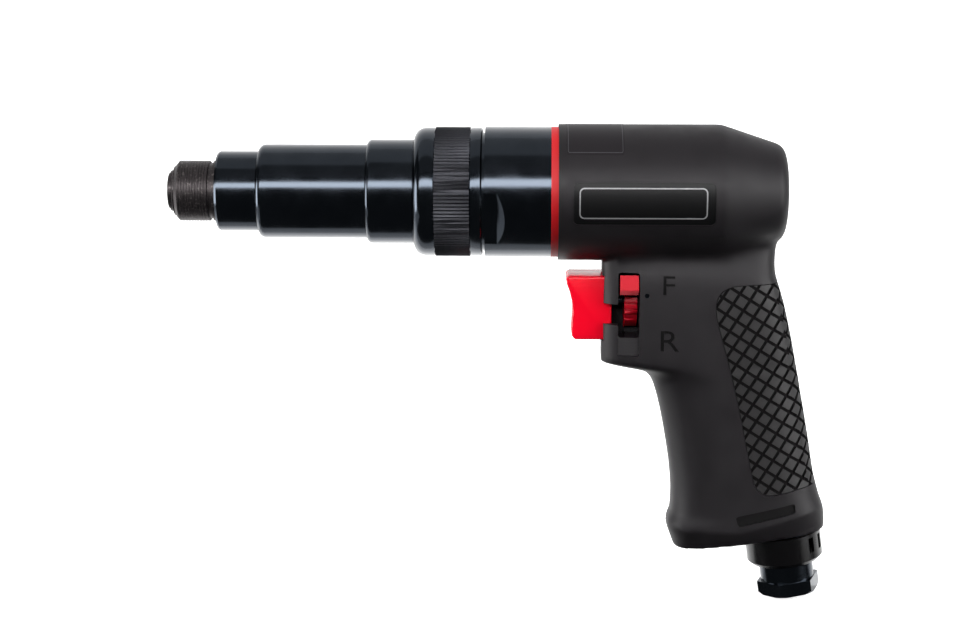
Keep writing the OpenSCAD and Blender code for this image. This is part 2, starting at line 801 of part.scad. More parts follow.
module nose_cap() {
    color(black_steel) difference() {
        union() {
            turned([
                [0, cap_x], [cap_r - cap_chamfer_d, cap_x], [cap_r, cap_x + cap_chamfer_l],
                [cap_r, step_x], [0, step_x]
            ]);
            rod(step_x, spigot_l, spigot_r);
        }
        rod(cap_x - cut, bush_lip + 2 * cut, shaft_r + shaft_clear);
        rod(cap_x + bush_lip, bush_l + seat_fit, bush_r + seat_fit);
        rod(cap_x + bush_lip, cap_l + spigot_l, shaft_r + shaft_clear);
        rod(seal_x - seal_groove_l / 2, seal_groove_l, shaft_r + 2 * seal_r + 2 * run_fit);
        rod(seal_x + seal_groove_l, spigot_l, cap_bore_r);
    }
}

module nose_housing() {
    round_1 = step_r - cap_r - seat_fit;
    round_2 = collar_r - step_r;
    color(black_steel) difference() {
        turned(concat(
            [[0, step_x], [step_r - round_1, step_x]],
            arc(step_r - round_1, step_x + round_1, round_1, -90, 0),
            [[step_r, collar_x]],
            arc(collar_r - round_2, collar_x + round_2, round_2, -90, 0),
            [[collar_r, ring_x - face_gap], [sleeve_step_r, ring_x - face_gap],
             [sleeve_step_r, spigot_end_x], [0, spigot_end_x]]
        ));
        rod(step_x - cut, bearing_x - step_x + 2 * cut, spigot_r + seat_fit);
        rod(bearing_x, spindle_bearing_t + seat_fit, spindle_bearing_r + seat_fit);
        rod(shoulder_x, spigot_end_x - shoulder_x + cut, clutch_bore_r);
        for (side = [-1, 1])
            translate([slot_x, side > 0 ? 0 : -collar_r - cut, -lug_w / 2 - slot_fit])
                cube([spigot_end_x - slot_x + cut, collar_r + cut, lug_w + 2 * slot_fit]);
        tube(ring_seal_x - ring_seal_r - seat_fit, 2 * (ring_seal_r + seat_fit),
            sleeve_step_r + cut, ring_seal_centre - ring_seal_r - seat_fit);
    }
}

module spindle_bearing() {
    bearing(bearing_x, spindle_bearing_t, spindle_bearing_r, shaft_r + seat_fit);
}

module clutch_balls() {
    color(plain_steel) around(clutch_balls_n)
        translate([ball_x, 0, clutch_ball_circle]) sphere(r = clutch_ball_r);
}

module drive_cam() {
    color(plain_steel) difference() {
        rod(cam_x, cam_t, cam_r);
        hex_rod(cam_x - cut, cam_t + 2 * cut, drive_w + 2 * hex_fit);
        around(clutch_balls_n) translate([ball_x, 0, clutch_ball_circle])
            sphere(r = clutch_ball_r + ball_pocket_fit);
    }
}

module spring_washer() {
    color(plain_steel) tube(cam_x + cam_t, washer_ring_t, washer_ring_r, washer_bore_r);
}

module clutch_spring() {
    color(plain_steel) at_x(clutch_spring_x + seat_fit)
        coil(clutch_spring_l - 2 * seat_fit, clutch_spring_r, clutch_wire_r, clutch_turns, 14);
}

module thrust_bearing() {
    mid_x = thrust_x + thrust_t / 2;
    color(plain_steel) {
        tube(thrust_x, race_t, thrust_r, thrust_bore_r);
        tube(thrust_x + thrust_t - race_t, race_t, thrust_r, thrust_bore_r);
        around(thrust_balls_n)
            translate([mid_x, 0, thrust_circle]) sphere(r = thrust_ball_r - seat_fit);
    }
}

module torque_nut() {
    color(plain_steel) difference() {
        union() {
            rod(nut_x, nut_l, nut_r);
            intersection() {
                rod(nut_x, nut_l, lug_r);
                translate([nut_x, -lug_r, -lug_w / 2]) cube([nut_l, 2 * lug_r, lug_w]);
            }
        }
        rod(nut_x - cut, nut_l + 2 * cut, nut_bore_r);
    }
}

// Outline of the knurl: a tooth at every step of the circle
function knurl_outline(r) =
    [for (i = [0 : 2 * knurl_n - 1])
        let (a = 180 * i / knurl_n, d = i % 2 == 0 ? r : r - knurl_d)
            [d * cos(a), d * sin(a)]];

module adjusting_ring() {
    knurl_r = ring_r + knurl_step;
    color(black_steel) difference() {
        union() {
            turned(concat(
                [[0, ring_x], [ring_r - ring_round, ring_x]],
                arc(ring_r - ring_round, ring_x + ring_round, ring_round, -90, 0),
                [[ring_r, knurl_x - knurl_edge], [ring_r - knurl_d, knurl_x],
                 [ring_r - knurl_d, knurl_x + knurl_l], [ring_r, knurl_x + knurl_l + knurl_edge],
                 [ring_r, washer_x - knurl_edge], [ring_r - knurl_edge, washer_x],
                 [0, washer_x]]
            ));
            at_x(knurl_x) linear_extrude(knurl_l) polygon(knurl_outline(knurl_r));
        }
        rod(ring_x - cut, ring_l, ring_lip_r);
        rod(ring_x + ring_lip_l, ring_l, ring_bore_r);
    }
}

module ring_seal() {
    color(black_rubber) at_x(ring_seal_x) rotate_extrude()
        translate([ring_seal_centre, 0]) circle(r = ring_seal_r);
}

module ring_washer() {
    color(dark_steel) tube(washer_x, washer_t, ring_washer_r, sleeve_step_r + seat_fit);
}

module output_bearing() {
    bearing(out_bearing_x, out_bearing_t, out_bearing_r, shaft_r + seat_fit);
}

module bearing_holder() {
    color(plain_steel) difference() {
        rod(holder_x, spigot_end_x - holder_x, clutch_bore_r - seat_fit);
        rod(holder_x - cut, spigot_end_x - holder_x + 2 * cut, out_bearing_r - holder_wall * 2);
        rod(out_bearing_x, spigot_end_x - out_bearing_x + cut, out_bearing_r + seat_fit);
    }
}

module output_shaft() {
    pilot_x = cam_x - cam_gap + pilot_gap;
    color(dark_steel) difference() {
        union() {
            rod(pilot_x - pilot_l, pilot_l + cut, pilot_r);
            hex_rod(pilot_x, holder_x - pilot_x, drive_w);
            rod(holder_x, out_plate_x - holder_x + cut, shaft_r);
            rod(out_plate_x, out_plate_t, out_plate_r);
        }
        planet_places() cylinder(h = end_x, r = pin_r + seat_fit);
    }
}

// The three places of the planets, as local frames at place x = 0 on the barrel's axis
module planet_places() {
    for (i = [0 : 2]) at_x(0) rotate(120 * i) translate([gear_centre, 0, 0]) children();
}

module planet_place(i, x) {
    at_x(x) rotate(120 * i) translate([gear_centre, 0, 0]) children();
}

module planet(i, x) {
    color(plain_steel) planet_place(i, x) difference() {
        spur_gear(planet_l, planet_n);
        translate([0, 0, -cut]) cylinder(h = planet_l + 2 * cut, r = planet_bore_r);
    }
}

module planet_pins(x, plate_t) {
    color(dark_steel) for (i = [0 : 2])
        planet_place(i, x) cylinder(h = plate_t + side_gap + planet_l + pin_past, r = pin_r);
}

module output_planet_pins() {
    planet_pins(out_plate_x, out_plate_t);
}

module output_planet_1() { planet(0, out_planet_x); }
module output_planet_2() { planet(1, out_planet_x); }
module output_planet_3() { planet(2, out_planet_x); }

module ring_gear() {
    color(plain_steel) difference() {
        rod(ring_gear_x, ring_gear_l, ring_gear_r);
        at_x(ring_gear_x - cut) linear_extrude(ring_gear_l + 2 * cut)
            polygon(gear_outline(gear_m, ring_n, gear_ded, gear_add, -backlash / 2));
    }
}

module input_carrier() {
    neck_x = out_sun_x + planet_l + 2 * sun_past;
    color(dark_steel) difference() {
        union() {
            rod(in_plate_x, in_plate_t, out_plate_r);
            rod(neck_x - cut / 2, in_plate_x - neck_x + cut, sun_root_r);
            at_x(out_sun_x) spur_gear(planet_l + 2 * sun_past, sun_n, 180 / sun_n);
        }
        for (i = [0 : 2]) planet_place(i, in_plate_x - cut)
            cylinder(h = in_plate_t + 2 * cut, r = pin_r + seat_fit);
    }
}

module input_planet_pins() {
    planet_pins(in_plate_x, in_plate_t);
}

module input_planet_1() { planet(0, in_planet_x); }
module input_planet_2() { planet(1, in_planet_x); }
module input_planet_3() { planet(2, in_planet_x); }

module sun_pinion() {
    color(plain_steel) difference() {
        at_x(in_sun_x) spur_gear(pinion_l, sun_n, 180 / sun_n);
        rod(in_sun_x - cut, pinion_l + 2 * cut, pinion_bore_r + seat_fit);
    }
}

module gear_housing() {
    color(black_steel) difference() {
        union() {
            rod(case_x, case_l, case_r);
            rod(trim_x, case_end_x - trim_x, case_spigot_r);
        }
        rod(case_x - cut, spigot_end_x - case_x + 2 * cut, sleeve_step_r + seat_fit);
        rod(spigot_end_x, case_end_x - spigot_end_x + cut, case_bore_r);
        for (side = [0, 180]) rotate([side + flat_turn, 0, 0]) translate([0, 0, -case_r])
            linear_extrude(2 * case_r) polygon([
                [case_x - cut, -case_r - cut], [case_x - cut, flat_d - case_r],
                [case_x + flat_l, flat_d - case_r],
                [case_x + flat_l + flat_ramp, -case_r], [case_x + flat_l + flat_ramp, -case_r - cut]
            ]);
    }
}

module trim_ring() {
    color(red_ring) tube(trim_x, trim_t, case_r, case_spigot_r + seat_fit);
}

module motor_front_plate() {
    color(plain_steel) difference() {
        rod(front_plate_x, front_plate_t, motor_r);
        rod(front_plate_x - cut, front_plate_t + 2 * cut, front_journal_r + journal_clear);
        rod(front_plate_x + plate_lip, front_bearing_t + cut, front_bearing_r + seat_fit);
        dowel_way(front_plate_x - cut, front_plate_t + 2 * cut);
    }
}

module rotor_front_bearing() {
    bearing(front_plate_x + plate_lip, front_bearing_t, front_bearing_r,
        front_journal_r + seat_fit);
}

module dowel_way(x, l) {
    translate([x, 0, dowel_circle]) rotate([0, 90, 0]) cylinder(h = l, r = dowel_r + seat_fit);
}

module motor_cylinder() {
    color(plain_steel) difference() {
        rod(motor_x, motor_l, motor_r);
        translate([0, 0, -motor_offset]) rod(motor_x - cut, motor_l + 2 * cut, motor_bore_r);
        dowel_way(motor_x - cut, motor_l + 2 * cut);
        for (side = [-1, 1]) translate([motor_port_x, side * port_y, -motor_r - cut])
            cylinder(h = motor_r, r = port_r);
        for (i = [1 : gallery_ports_n]) translate([gallery_x + 2 * i * port_r, 0, -motor_r - cut])
            cylinder(h = motor_r, r = port_r - port_r / 4);
    }
}

module rotor() {
    front_l = rotor_x - front_plate_x;
    color(dark_steel) difference() {
        union() {
            rod(in_sun_x, front_plate_x - in_sun_x, pinion_bore_r);
            rod(front_plate_x, front_l + cut, front_journal_r);
            rod(rotor_x, rotor_l, rotor_r);
            rod(rotor_x + rotor_l - cut, motor_end_x - rotor_x - rotor_l + cut - face_gap,
                rear_journal_r);
        }
        around(vanes_n) translate([rotor_x - cut, -vane_t / 2 - vane_fit, rotor_r - vane_d])
            cube([rotor_l + 2 * cut, vane_t + 2 * vane_fit, vane_d + cut]);
    }
}

module vanes() {
    color(vane_brown) around(vanes_n)
        translate([rotor_x, -vane_t / 2, rotor_r - vane_d + vane_out])
            cube([rotor_l, vane_t, vane_d - vane_out - vane_fit]);
}

module motor_rear_plate() {
    color(plain_steel) difference() {
        rod(rear_plate_x, rear_plate_t, motor_r);
        rod(rear_plate_x - cut, rear_plate_t + 2 * cut, rear_journal_r + journal_clear);
        rod(rear_plate_x + rear_lip, rear_bearing_t + cut, rear_bearing_r + seat_fit);
        dowel_way(rear_plate_x - cut, rear_plate_t + 2 * cut);
    }
}

module rotor_rear_bearing() {
    bearing(rear_plate_x + rear_lip, rear_bearing_t, rear_bearing_r, rear_journal_r + seat_fit);
}

module motor_dowel() {
    color(plain_steel) translate([front_plate_x, 0, dowel_circle]) rotate([0, 90, 0])
        cylinder(h = motor_end_x - front_plate_x, r = dowel_r);
}

// The round body: barrel, tapered tail and rounded end
module body_form() {
    steps = 6;
    turned(concat(
        [[0, body_x], [body_r, body_x], [body_r, tail_x]],
        [for (i = [0 : steps])
            let (a = 90 * i / steps)
                [dome_flat_r + (tail_r - dome_flat_r) * cos(a),
                 end_x - tail_dome + tail_dome * sin(a)]],
        [[0, end_x]]
    ));
}

module grip_prism(grow = 0) {
    rotate([90, 0, 0]) linear_extrude(2 * handle_w, center = true) offset(delta = grow)
        polygon([for (p = grip_shares) [column_x + handle_d * p[0], -handle_h * p[1]]]);
}

// Slabs across the handle where the pad's grooves run, in a diamond pattern that leans with it
module stud_slabs() {
    top = handle_shares[pad_top_row];
    foot = handle_shares[pad_foot_row];
    run = [handle_d * (foot[2] - top[2]), handle_h * (foot[0] - top[0])];
    lean = atan2(run.x, run.y);
    n = ceil(norm(run) / 2 / stud_pitch);
    translate([column_x + handle_d * pad_middle_share.x, 0, -handle_h * pad_middle_share.y])
        for (slant = [-stud_slant, stud_slant], i = [-n : n])
            rotate([0, slant - lean, 0])
                translate([stud_pitch * i - stud_groove_w / 2, -handle_w, -norm(run)])
                    cube([stud_groove_w, 2 * handle_w, 2 * norm(run)]);
}

module grip_pad() {
    color(black_rubber) intersection() {
        grip_prism();
        difference() {
            handle_form();
            handle_form(-grip_t);
            difference() {
                stud_slabs();
                handle_form(stud_web - grip_t);
            }
        }
    }
}

// What is cut away for the trigger, the reverse lever and the valve behind them
module valve_ways() {
    pocket_w = trigger_w + 2 * pocket_fit;
    pocket_h = trigger_h + 2 * pocket_fit;
    wide = handle_w;
    translate([column_x - cut, -pocket_w / 2, -trigger_top - trigger_h - pocket_fit])
        cube([pocket_l + cut, pocket_w, pocket_h]);
    translate([window_x, -wide, -valve_drop - window_h / 2])
        cube([window_l, wide, window_h]);
    rod(window_x, window_l, window_reach, valve_drop);
    translate([column_x - cut, -wide, -valve_drop - notch_drop - notch_h / 2])
        cube([column_wall + 2 * cut, wide, notch_h]);
    translate([window_x, -wide, -valve_drop - window_h / 2 - window_under_h])
        cube([window_l, wide - handle_half_w * window_side_share + window_under_d,
            window_under_h + cut]);
    rod(window_x, liner_x - window_x + cut, valve_r + run_fit, valve_drop);
    rod(liner_x, liner_l, liner_r + seat_fit, valve_drop);
    translate([keeper_x, 0, keeper_up - valve_drop]) rotate([90, 0, 0])
        cylinder(h = 2 * handle_w, r = keeper_r + seat_fit, center = true);
}

// Ways of the air: up from the inlet, on to the motor, and back down to the foot
module air_ways() {
    bar([feed_x, 0, -valve_drop], [inlet_x, 0, -foot_drop + foot_cavity_d + shank_l / 2], feed_r);
    for (side = [-1, 1]) translate([motor_port_x, side * port_y, -valve_drop])
        cylinder(h = valve_drop - motor_r + cut, r = port_r);
    translate([gallery_x, -gallery_w / 2, -motor_r - gallery_h])
        cube([gallery_end_x - gallery_x, gallery_w, gallery_h + motor_r / 4]);
    for (side = [-exhaust_y, exhaust_y])
        bar([exhaust_top_x, side, -exhaust_top_drop], [exhaust_foot_x, side, -exhaust_foot_drop],
            exhaust_r);
}

module foot_ways() {
    at_inlet() translate([-handle_d, -handle_w, 0]) cube([2 * handle_d, 2 * handle_w, handle_w]);
    at_inlet(-foot_cavity_d) cylinder(h = foot_cavity_d + cut, r = foot_cavity_r);
    at_inlet(-foot_cavity_d - shank_l) cylinder(h = shank_l + cut, r = shank_r + seat_fit);
}

module housing() {
    color(black_plastic) difference() {
        union() {
            body_form();
            handle_form();
        }
        rod(body_x - cut, case_end_x - body_x + cut, case_spigot_r + seat_fit);
        rod(case_end_x - cut, motor_end_x - case_end_x + cut, motor_r + seat_fit);
        valve_ways();
        air_ways();
        foot_ways();
        intersection() {
            grip_prism(seat_fit);
            difference() {
                handle_form(cut);
                handle_form(-grip_t - seat_fit);
            }
        }
    }
}

module trigger() {
    back_x = column_x + trigger_back;
    front_x = column_x - trigger_reach;
    color(red_plastic) difference() {
        rotate([90, 0, 0]) linear_extrude(trigger_w, center = true) polygon(concat(
            [for (p = trigger_shares)
                [front_x + trigger_reach * p[0], -trigger_top - trigger_h * p[1]]],
            [[back_x, -trigger_top - trigger_h], [back_x, -trigger_top]]
        ));
        rod(column_x - trigger_wall, trigger_wall + trigger_back + cut, stem_r + seat_fit,
            valve_drop);
    }
}

module trigger_stem() {
    stem_x = column_x - trigger_wall + seat_fit;
    color(plain_steel) {
        rod(stem_x, valve_spring_x - stem_x, stem_r, valve_drop);
        rod(stem_head_x, stem_head_l, stem_head_r, valve_drop);
    }
}

module stem_seal() {
    color(black_rubber) at_x(stem_seal_x, valve_drop) rotate_extrude()
        translate([stem_seal_circle, 0]) circle(r = stem_seal_r);
}

module valve_spring() {
    color(plain_steel) at_x(valve_spring_x + seat_fit, valve_drop)
        coil(valve_spring_l - 2 * seat_fit, valve_spring_r, valve_wire_r, valve_turns, 12);
}

module throttle_seat() {
    color(brass) tube(seat_x, seat_t, valve_r, seat_hole_r, valve_drop);
}

module reverse_valve() {
    round_x = valve_x + valve_front_l;
    color(brass) difference() {
        union() {
            translate([valve_x, -key_w / 2, -valve_drop - key_w / 2])
                cube([valve_front_l + cut, key_w, key_w]);
            rod(round_x, valve_l - valve_front_l, valve_r, valve_drop);
        }
        rod(valve_x - cut, valve_l + 2 * cut, stem_r + 2 * run_fit, valve_drop);
        rod(valve_x + valve_l - valve_bore_l, valve_bore_l + cut, valve_bore_r, valve_drop);
        tube(keeper_x - keeper_groove_l / 2, keeper_groove_l, valve_r + cut, keeper_groove_r,
            valve_drop);
        rotate_about_valve(-lever_swing) translate([motor_port_x, 0, 0])
            cylinder(h = valve_r + cut, r = port_r);
    }
}

// A turn about the valve's axis, for what is drawn on the origin's axis
module rotate_about_valve(a) {
    translate([0, 0, -valve_drop]) rotate([a, 0, 0]) children();
}

module reverse_lever() {
    color(red_plastic) difference() {
        rotate_about_valve(-lever_swing) {
            rod(lever_x, lever_l, lever_hub_r);
            translate([lever_x, -knob_reach, -knob_h / 3])
                cube([lever_l, knob_reach, 2 * knob_h / 3]);
            translate([lever_x - knob_ahead, -knob_reach - knob_t / 2, -knob_h / 2])
                cube([knob_l, knob_t, knob_h]);
            for (i = [1 : lever_ribs_n]) rotate([lever_rib_step * (i + 1), 0, 0])
                translate([lever_x, -lever_hub_r - lever_rib_d, -lever_rib_w / 2])
                    cube([lever_l, lever_hub_r, lever_rib_w]);
        }
        translate([lever_x - cut, -key_w / 2 - key_fit, -valve_drop - key_w / 2 - key_fit])
            cube([lever_l + 2 * cut, key_w + 2 * key_fit, key_w + 2 * key_fit]);
    }
}

module valve_keeper() {
    color(plain_steel) translate([keeper_x, 0, keeper_up - valve_drop]) rotate([90, 0, 0])
        cylinder(h = keeper_l, r = keeper_r, center = true);
}

module valve_liner() {
    color(brass) difference() {
        tube(liner_x, liner_l, liner_r, valve_r + run_fit, valve_drop);
        for (side = [-1, 1]) translate([motor_port_x, side * port_y, -valve_drop])
            cylinder(h = liner_r + cut, r = port_r);
        translate([feed_x, 0, -valve_drop - liner_r - cut]) cylinder(h = liner_r + cut, r = feed_r);
    }
}

module inlet_bushing() {
    hex_r = inlet_hex_w / 2 * hex_corner_share;
    top = -foot_cavity_d - shank_l;
    bottom = inlet_neck_l + inlet_hex_t;
    color(black_steel) difference() {
        union() {
            at_inlet(top) cylinder(h = shank_l + cut, r = shank_r);
            at_inlet(-foot_cavity_d) cylinder(h = foot_cavity_d + deflector_gap + deflector_l,
                r = journal_r);
            at_inlet(deflector_gap + deflector_l)
                cylinder(h = inlet_neck_l - deflector_l - deflector_gap + cut, r = neck_r);
            at_inlet(inlet_neck_l) intersection() {
                rotate(inlet_hex_turn) cylinder(h = inlet_hex_t, r = hex_r, $fn = 6);
                cylinder(h = inlet_hex_t, r1 = hex_r + inlet_hex_t - inlet_hex_chamfer,
                    r2 = hex_r - inlet_hex_chamfer);
            }
        }
        at_inlet(bottom - inlet_thread_l) cylinder(h = inlet_thread_l + cut, r = inlet_thread_r);
        at_inlet(top - cut) cylinder(h = bottom - top + cut, r = feed_r);
        at_inlet(top + 2 * inlet_seal_r) difference() {
            cylinder(h = 2 * inlet_seal_r + seat_fit, r = shank_r + cut);
            cylinder(h = 2 * inlet_seal_r + seat_fit, r = shank_r - 2 * inlet_seal_r - seat_fit);
        }
    }
}

module inlet_seal() {
    color(black_rubber) at_inlet(-foot_cavity_d - shank_l + 3 * inlet_seal_r + seat_fit / 2)
        rotate_extrude() translate([shank_r - inlet_seal_r, 0]) circle(r = inlet_seal_r);
}

module muffler() {
    color(brass) at_inlet(-muffler_l - deflector_gap) difference() {
        cylinder(h = muffler_l, r = muffler_r);
        translate([0, 0, -cut]) cylinder(h = muffler_l + 2 * cut, r = muffler_bore_r);
    }
}

module exhaust_deflector() {
    color(black_plastic) at_inlet(deflector_gap) difference() {
        rotate_extrude() polygon([
            [journal_r + run_fit, 0], [deflector_r, 0], [deflector_r, deflector_l - deflector_cone],
            [deflector_r - deflector_cone, deflector_l], [journal_r + run_fit, deflector_l]
        ]);
        translate([0, 0, -cut]) cylinder(h = deflector_l - deflector_floor + cut,
            r = deflector_r - deflector_wall);
        for (i = [0 : deflector_slots_n - 1])
            rotate(180 + (i - (deflector_slots_n - 1) / 2) * deflector_slot_step)
                translate([0, -deflector_slot_w / 2, deflector_wall])
                    cube([2 * deflector_r, deflector_slot_w, deflector_l / 2]);
    }
}

chuck_circlip();
chuck_washer();
chuck_spring();
chuck_sleeve();
lock_ball();
spindle();
nose_bush();
nose_seal();
nose_cap();
nose_housing();
spindle_bearing();
clutch_balls();
drive_cam();
spring_washer();
clutch_spring();
thrust_bearing();
torque_nut();
adjusting_ring();
ring_seal();
ring_washer();
output_bearing();
bearing_holder();
output_shaft();
output_planet_pins();
output_planet_1();
output_planet_2();
output_planet_3();
ring_gear();
input_carrier();
input_planet_pins();
input_planet_1();
input_planet_2();
input_planet_3();
sun_pinion();
gear_housing();
trim_ring();
motor_front_plate();
rotor_front_bearing();
motor_cylinder();
rotor();
vanes();
motor_rear_plate();
rotor_rear_bearing();
motor_dowel();
housing();
grip_pad();
trigger();
trigger_stem();
stem_seal();
valve_spring();
throttle_seat();
reverse_valve();
reverse_lever();
valve_keeper();
valve_liner();
inlet_bushing();
inlet_seal();
muffler();
exhaust_deflector();
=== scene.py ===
# %% [markdown]
# A pneumatic screwdriver with a pistol grip, dressed for its picture.
# The CAD model comes in as a fixed frame in metres, with the nose to -X and +Z up.
# Most of its nodes keep their shape and only get a finish, because their turned and
# planed forms are already right. The moulded housing, the grip pad, the trigger, the
# lever, the adjusting ring and the chuck sleeve get richer pieces of their own.

# %% Load the frame
import math

import bmesh
import bpy
from mathutils import Matrix, Vector


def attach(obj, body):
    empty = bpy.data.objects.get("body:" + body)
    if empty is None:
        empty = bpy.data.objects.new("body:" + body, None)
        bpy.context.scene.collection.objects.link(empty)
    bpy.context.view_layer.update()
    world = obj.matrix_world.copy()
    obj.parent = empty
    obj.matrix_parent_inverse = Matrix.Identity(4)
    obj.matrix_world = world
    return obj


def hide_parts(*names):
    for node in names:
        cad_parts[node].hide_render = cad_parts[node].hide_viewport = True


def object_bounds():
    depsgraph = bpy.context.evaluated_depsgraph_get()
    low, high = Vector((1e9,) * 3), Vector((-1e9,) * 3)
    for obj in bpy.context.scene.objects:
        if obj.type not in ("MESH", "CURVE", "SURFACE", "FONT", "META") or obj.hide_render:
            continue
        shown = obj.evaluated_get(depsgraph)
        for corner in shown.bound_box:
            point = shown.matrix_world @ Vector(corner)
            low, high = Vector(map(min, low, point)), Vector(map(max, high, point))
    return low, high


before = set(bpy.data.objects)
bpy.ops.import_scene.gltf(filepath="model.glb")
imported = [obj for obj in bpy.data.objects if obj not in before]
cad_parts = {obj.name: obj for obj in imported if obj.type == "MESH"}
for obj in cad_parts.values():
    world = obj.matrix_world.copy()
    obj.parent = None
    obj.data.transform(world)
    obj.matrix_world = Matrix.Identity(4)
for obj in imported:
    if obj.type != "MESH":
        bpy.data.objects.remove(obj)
cad_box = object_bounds()
MM = 0.001

# %% [markdown]
# A photograph of a product is taken with a long lens from some way off, so that the
# near side doesn't swell. The camera stands 0.72 m from the tool, a little above the
# barrel, and its lens gives the picture 25 degrees of view.

# %% Camera
camera_data = bpy.data.cameras.new("studio_camera")
camera_data.sensor_width = 36.0
camera_data.lens = 80.37
camera_data.clip_start = 0.01
camera = bpy.data.objects.new("studio_camera", camera_data)
camera.location = Vector((0.125, -0.72, 0.1))
aim = Vector((0.10544, 0.0, -0.04433)) - camera.location
camera.rotation_euler = aim.to_track_quat("-Z", "Y").to_euler()
bpy.context.scene.collection.objects.link(camera)
bpy.context.scene.camera = camera
print("lens", camera_data.lens, "mm")

# %% [markdown]
# The studio is a pale floor that runs into a pale wall, with soft boxes round it.
# Glossy black steel shows every light as a band, so the lights are shaped like the
# bands. One long strip makes the white line along the barrel, and four dim cards above,
# below and beside the tool make the grey rims. These five show only in reflections. Two
# boxes from above light the matte skins and aren't reflected, and two at the ends do
# both. The floor is hidden from reflections, because a real product table is black
# cloth in front of the tool, and the low side stays dark.

# %% Studio
def soft_box(name, place, target, size, power):
    """An area light that faces its target, out of the camera's sight."""
    light = bpy.data.lights.new(name, "AREA")
    light.shape = "RECTANGLE"
    light.size, light.size_y = size
    light.energy = power
    lamp = bpy.data.objects.new(name, light)
    lamp.location = Vector(place)
    lamp.rotation_euler = (Vector(target) - Vector(place)).to_track_quat("-Z", "Y").to_euler()
    lamp.visible_camera = False
    bpy.context.scene.collection.objects.link(lamp)
    return lamp


TOOL_MIDDLE = (0.11, 0.0, -0.03)
for name, place, target, size, power in (
    ("strip_box", (0.11, -1.0, 0.43), (0.11, 0.0, 0.0), (2.2, 0.26), 20.0),
    ("ceiling_card", (0.11, 0.15, 1.1), (0.11, 0.15, 0.0), (2.2, 0.9), 3.2),
    ("dim_ceiling_card", (0.11, -0.75, 1.1), (0.11, -0.75, 0.0), (2.2, 0.9), 0.9),
    ("table_card", (0.11, 0.14, -0.14), (0.11, 0.14, 1.0), (2.2, 0.27), 1.8),
    ("side_card", (-0.25, -0.02, -0.14), (-0.25, -0.02, 1.0), (0.36, 0.3), 0.3),
):
    soft_box(name, place, target, size, power).visible_diffuse = False
for name, place, size, power in (
    ("top_box", (0.11, -0.1, 1.1), (1.6, 0.5), 5.0),
    ("front_box", (-0.2, -0.8, 0.8), (0.9, 0.9), 15.5),
):
    soft_box(name, place, TOOL_MIDDLE, size, power).visible_glossy = False
soft_box("right_box", (1.3, -0.5, 0.2), TOOL_MIDDLE, (0.6, 0.9), 15.0)
soft_box("left_box", (-1.3, -0.2, -0.1), TOOL_MIDDLE, (0.6, 0.8), 15.0)

world = bpy.data.worlds.new("studio_air")
world.use_nodes = True
air = world.node_tree.nodes["Background"]
air.inputs["Color"].default_value = (0.8, 0.85, 0.9, 1.0)
air.inputs["Strength"].default_value = 0.08
bpy.context.scene.world = world
bpy.context.scene.view_settings.view_transform = "Standard"
print("lights", len(bpy.data.lights))

# %% [markdown]
# Every finish is a small tree of nodes. One helper adds a node with its settings and
# its inputs, and one turns the colour of a paint chip, given as six hex digits, into
# the linear values that a renderer adds up. The others are what real surfaces need
# again and again: noise of some size, the rings that a lathe leaves, bumps, two shades
# that blend and a value that is spread over a range, such as a gloss that varies.

# %% Helpers for finishes
def linear(hex_colour):
    """A linear RGBA colour from sRGB hex digits such as #c81e1e."""
    shades = [int(hex_colour[i:i + 2], 16) / 255 for i in (1, 3, 5)]
    return [s / 12.92 if s <= 0.04045 else ((s + 0.055) / 1.055) ** 2.4 for s in shades] + [1.0]


def add_node(tree, kind, settings=None, inputs=None):
    """Adds one node. An input's value is a plain value or the socket that feeds it."""
    new = tree.nodes.new(kind)
    for name, value in (settings or {}).items():
        setattr(new, name, value)
    for name, value in (inputs or {}).items():
        if isinstance(value, bpy.types.NodeSocket):
            tree.links.new(value, new.inputs[name])
        else:
            new.inputs[name].default_value = value
    return new


def new_finish(name, colour, roughness, metallic=0.0, specular=0.5):
    """A material with one Principled shader, its tree, the shader and Object coordinates."""
    finish = bpy.data.materials.new(name)
    finish.use_nodes = True
    tree = finish.node_tree
    shader = tree.nodes["Principled BSDF"]
    shader.inputs["Base Color"].default_value = linear(colour)
    shader.inputs["Roughness"].default_value = roughness
    shader.inputs["Metallic"].default_value = metallic
    shader.inputs["Specular IOR Level"].default_value = specular
    place = add_node(tree, "ShaderNodeTexCoord").outputs["Object"]
    print("finish", name)
    return finish, tree, shader, place


def copied_finish(finish, name):
    """A copy of a finish under its own name, and its shader, to be changed."""
    copy = finish.copy()
    copy.name = name
    print("finish", name)
    return copy, copy.node_tree.nodes["Principled BSDF"]


def noise(tree, place, scale, detail=2.0):
    """The grey value of a noise. Its lumps are about 1 / scale metres wide."""
    texture = add_node(
        tree, "ShaderNodeTexNoise", inputs={"Vector": place, "Scale": scale, "Detail": detail}
    )
    return texture.outputs["Fac"]


def turning_rings(tree, place, scale):
    """Noise that is drawn out into rings round the barrel's axis."""
    stretched = add_node(tree, "ShaderNodeMapping", inputs={"Vector": place, "Scale": scale})
    return noise(tree, stretched.outputs["Vector"], 1.0)


def spread(tree, value, low, high, to_low=0.0, to_high=1.0):
    """A value moved from one range to another, and kept within it."""
    ranged = add_node(
        tree, "ShaderNodeMapRange",
        inputs={"Value": value, "From Min": low, "From Max": high,
                "To Min": to_low, "To Max": to_high},
    )
    return ranged.outputs["Result"]


def blend_shades(tree, shader, share, first, second):
    """The base colour goes from one shade to the other as the share goes from 0 to 1."""
    shade = add_node(
        tree, "ShaderNodeMix", {"data_type": "RGBA"},
        {0: share, 6: linear(first), 7: linear(second)},
    )
    tree.links.new(shade.outputs[2], shader.inputs["Base Color"])


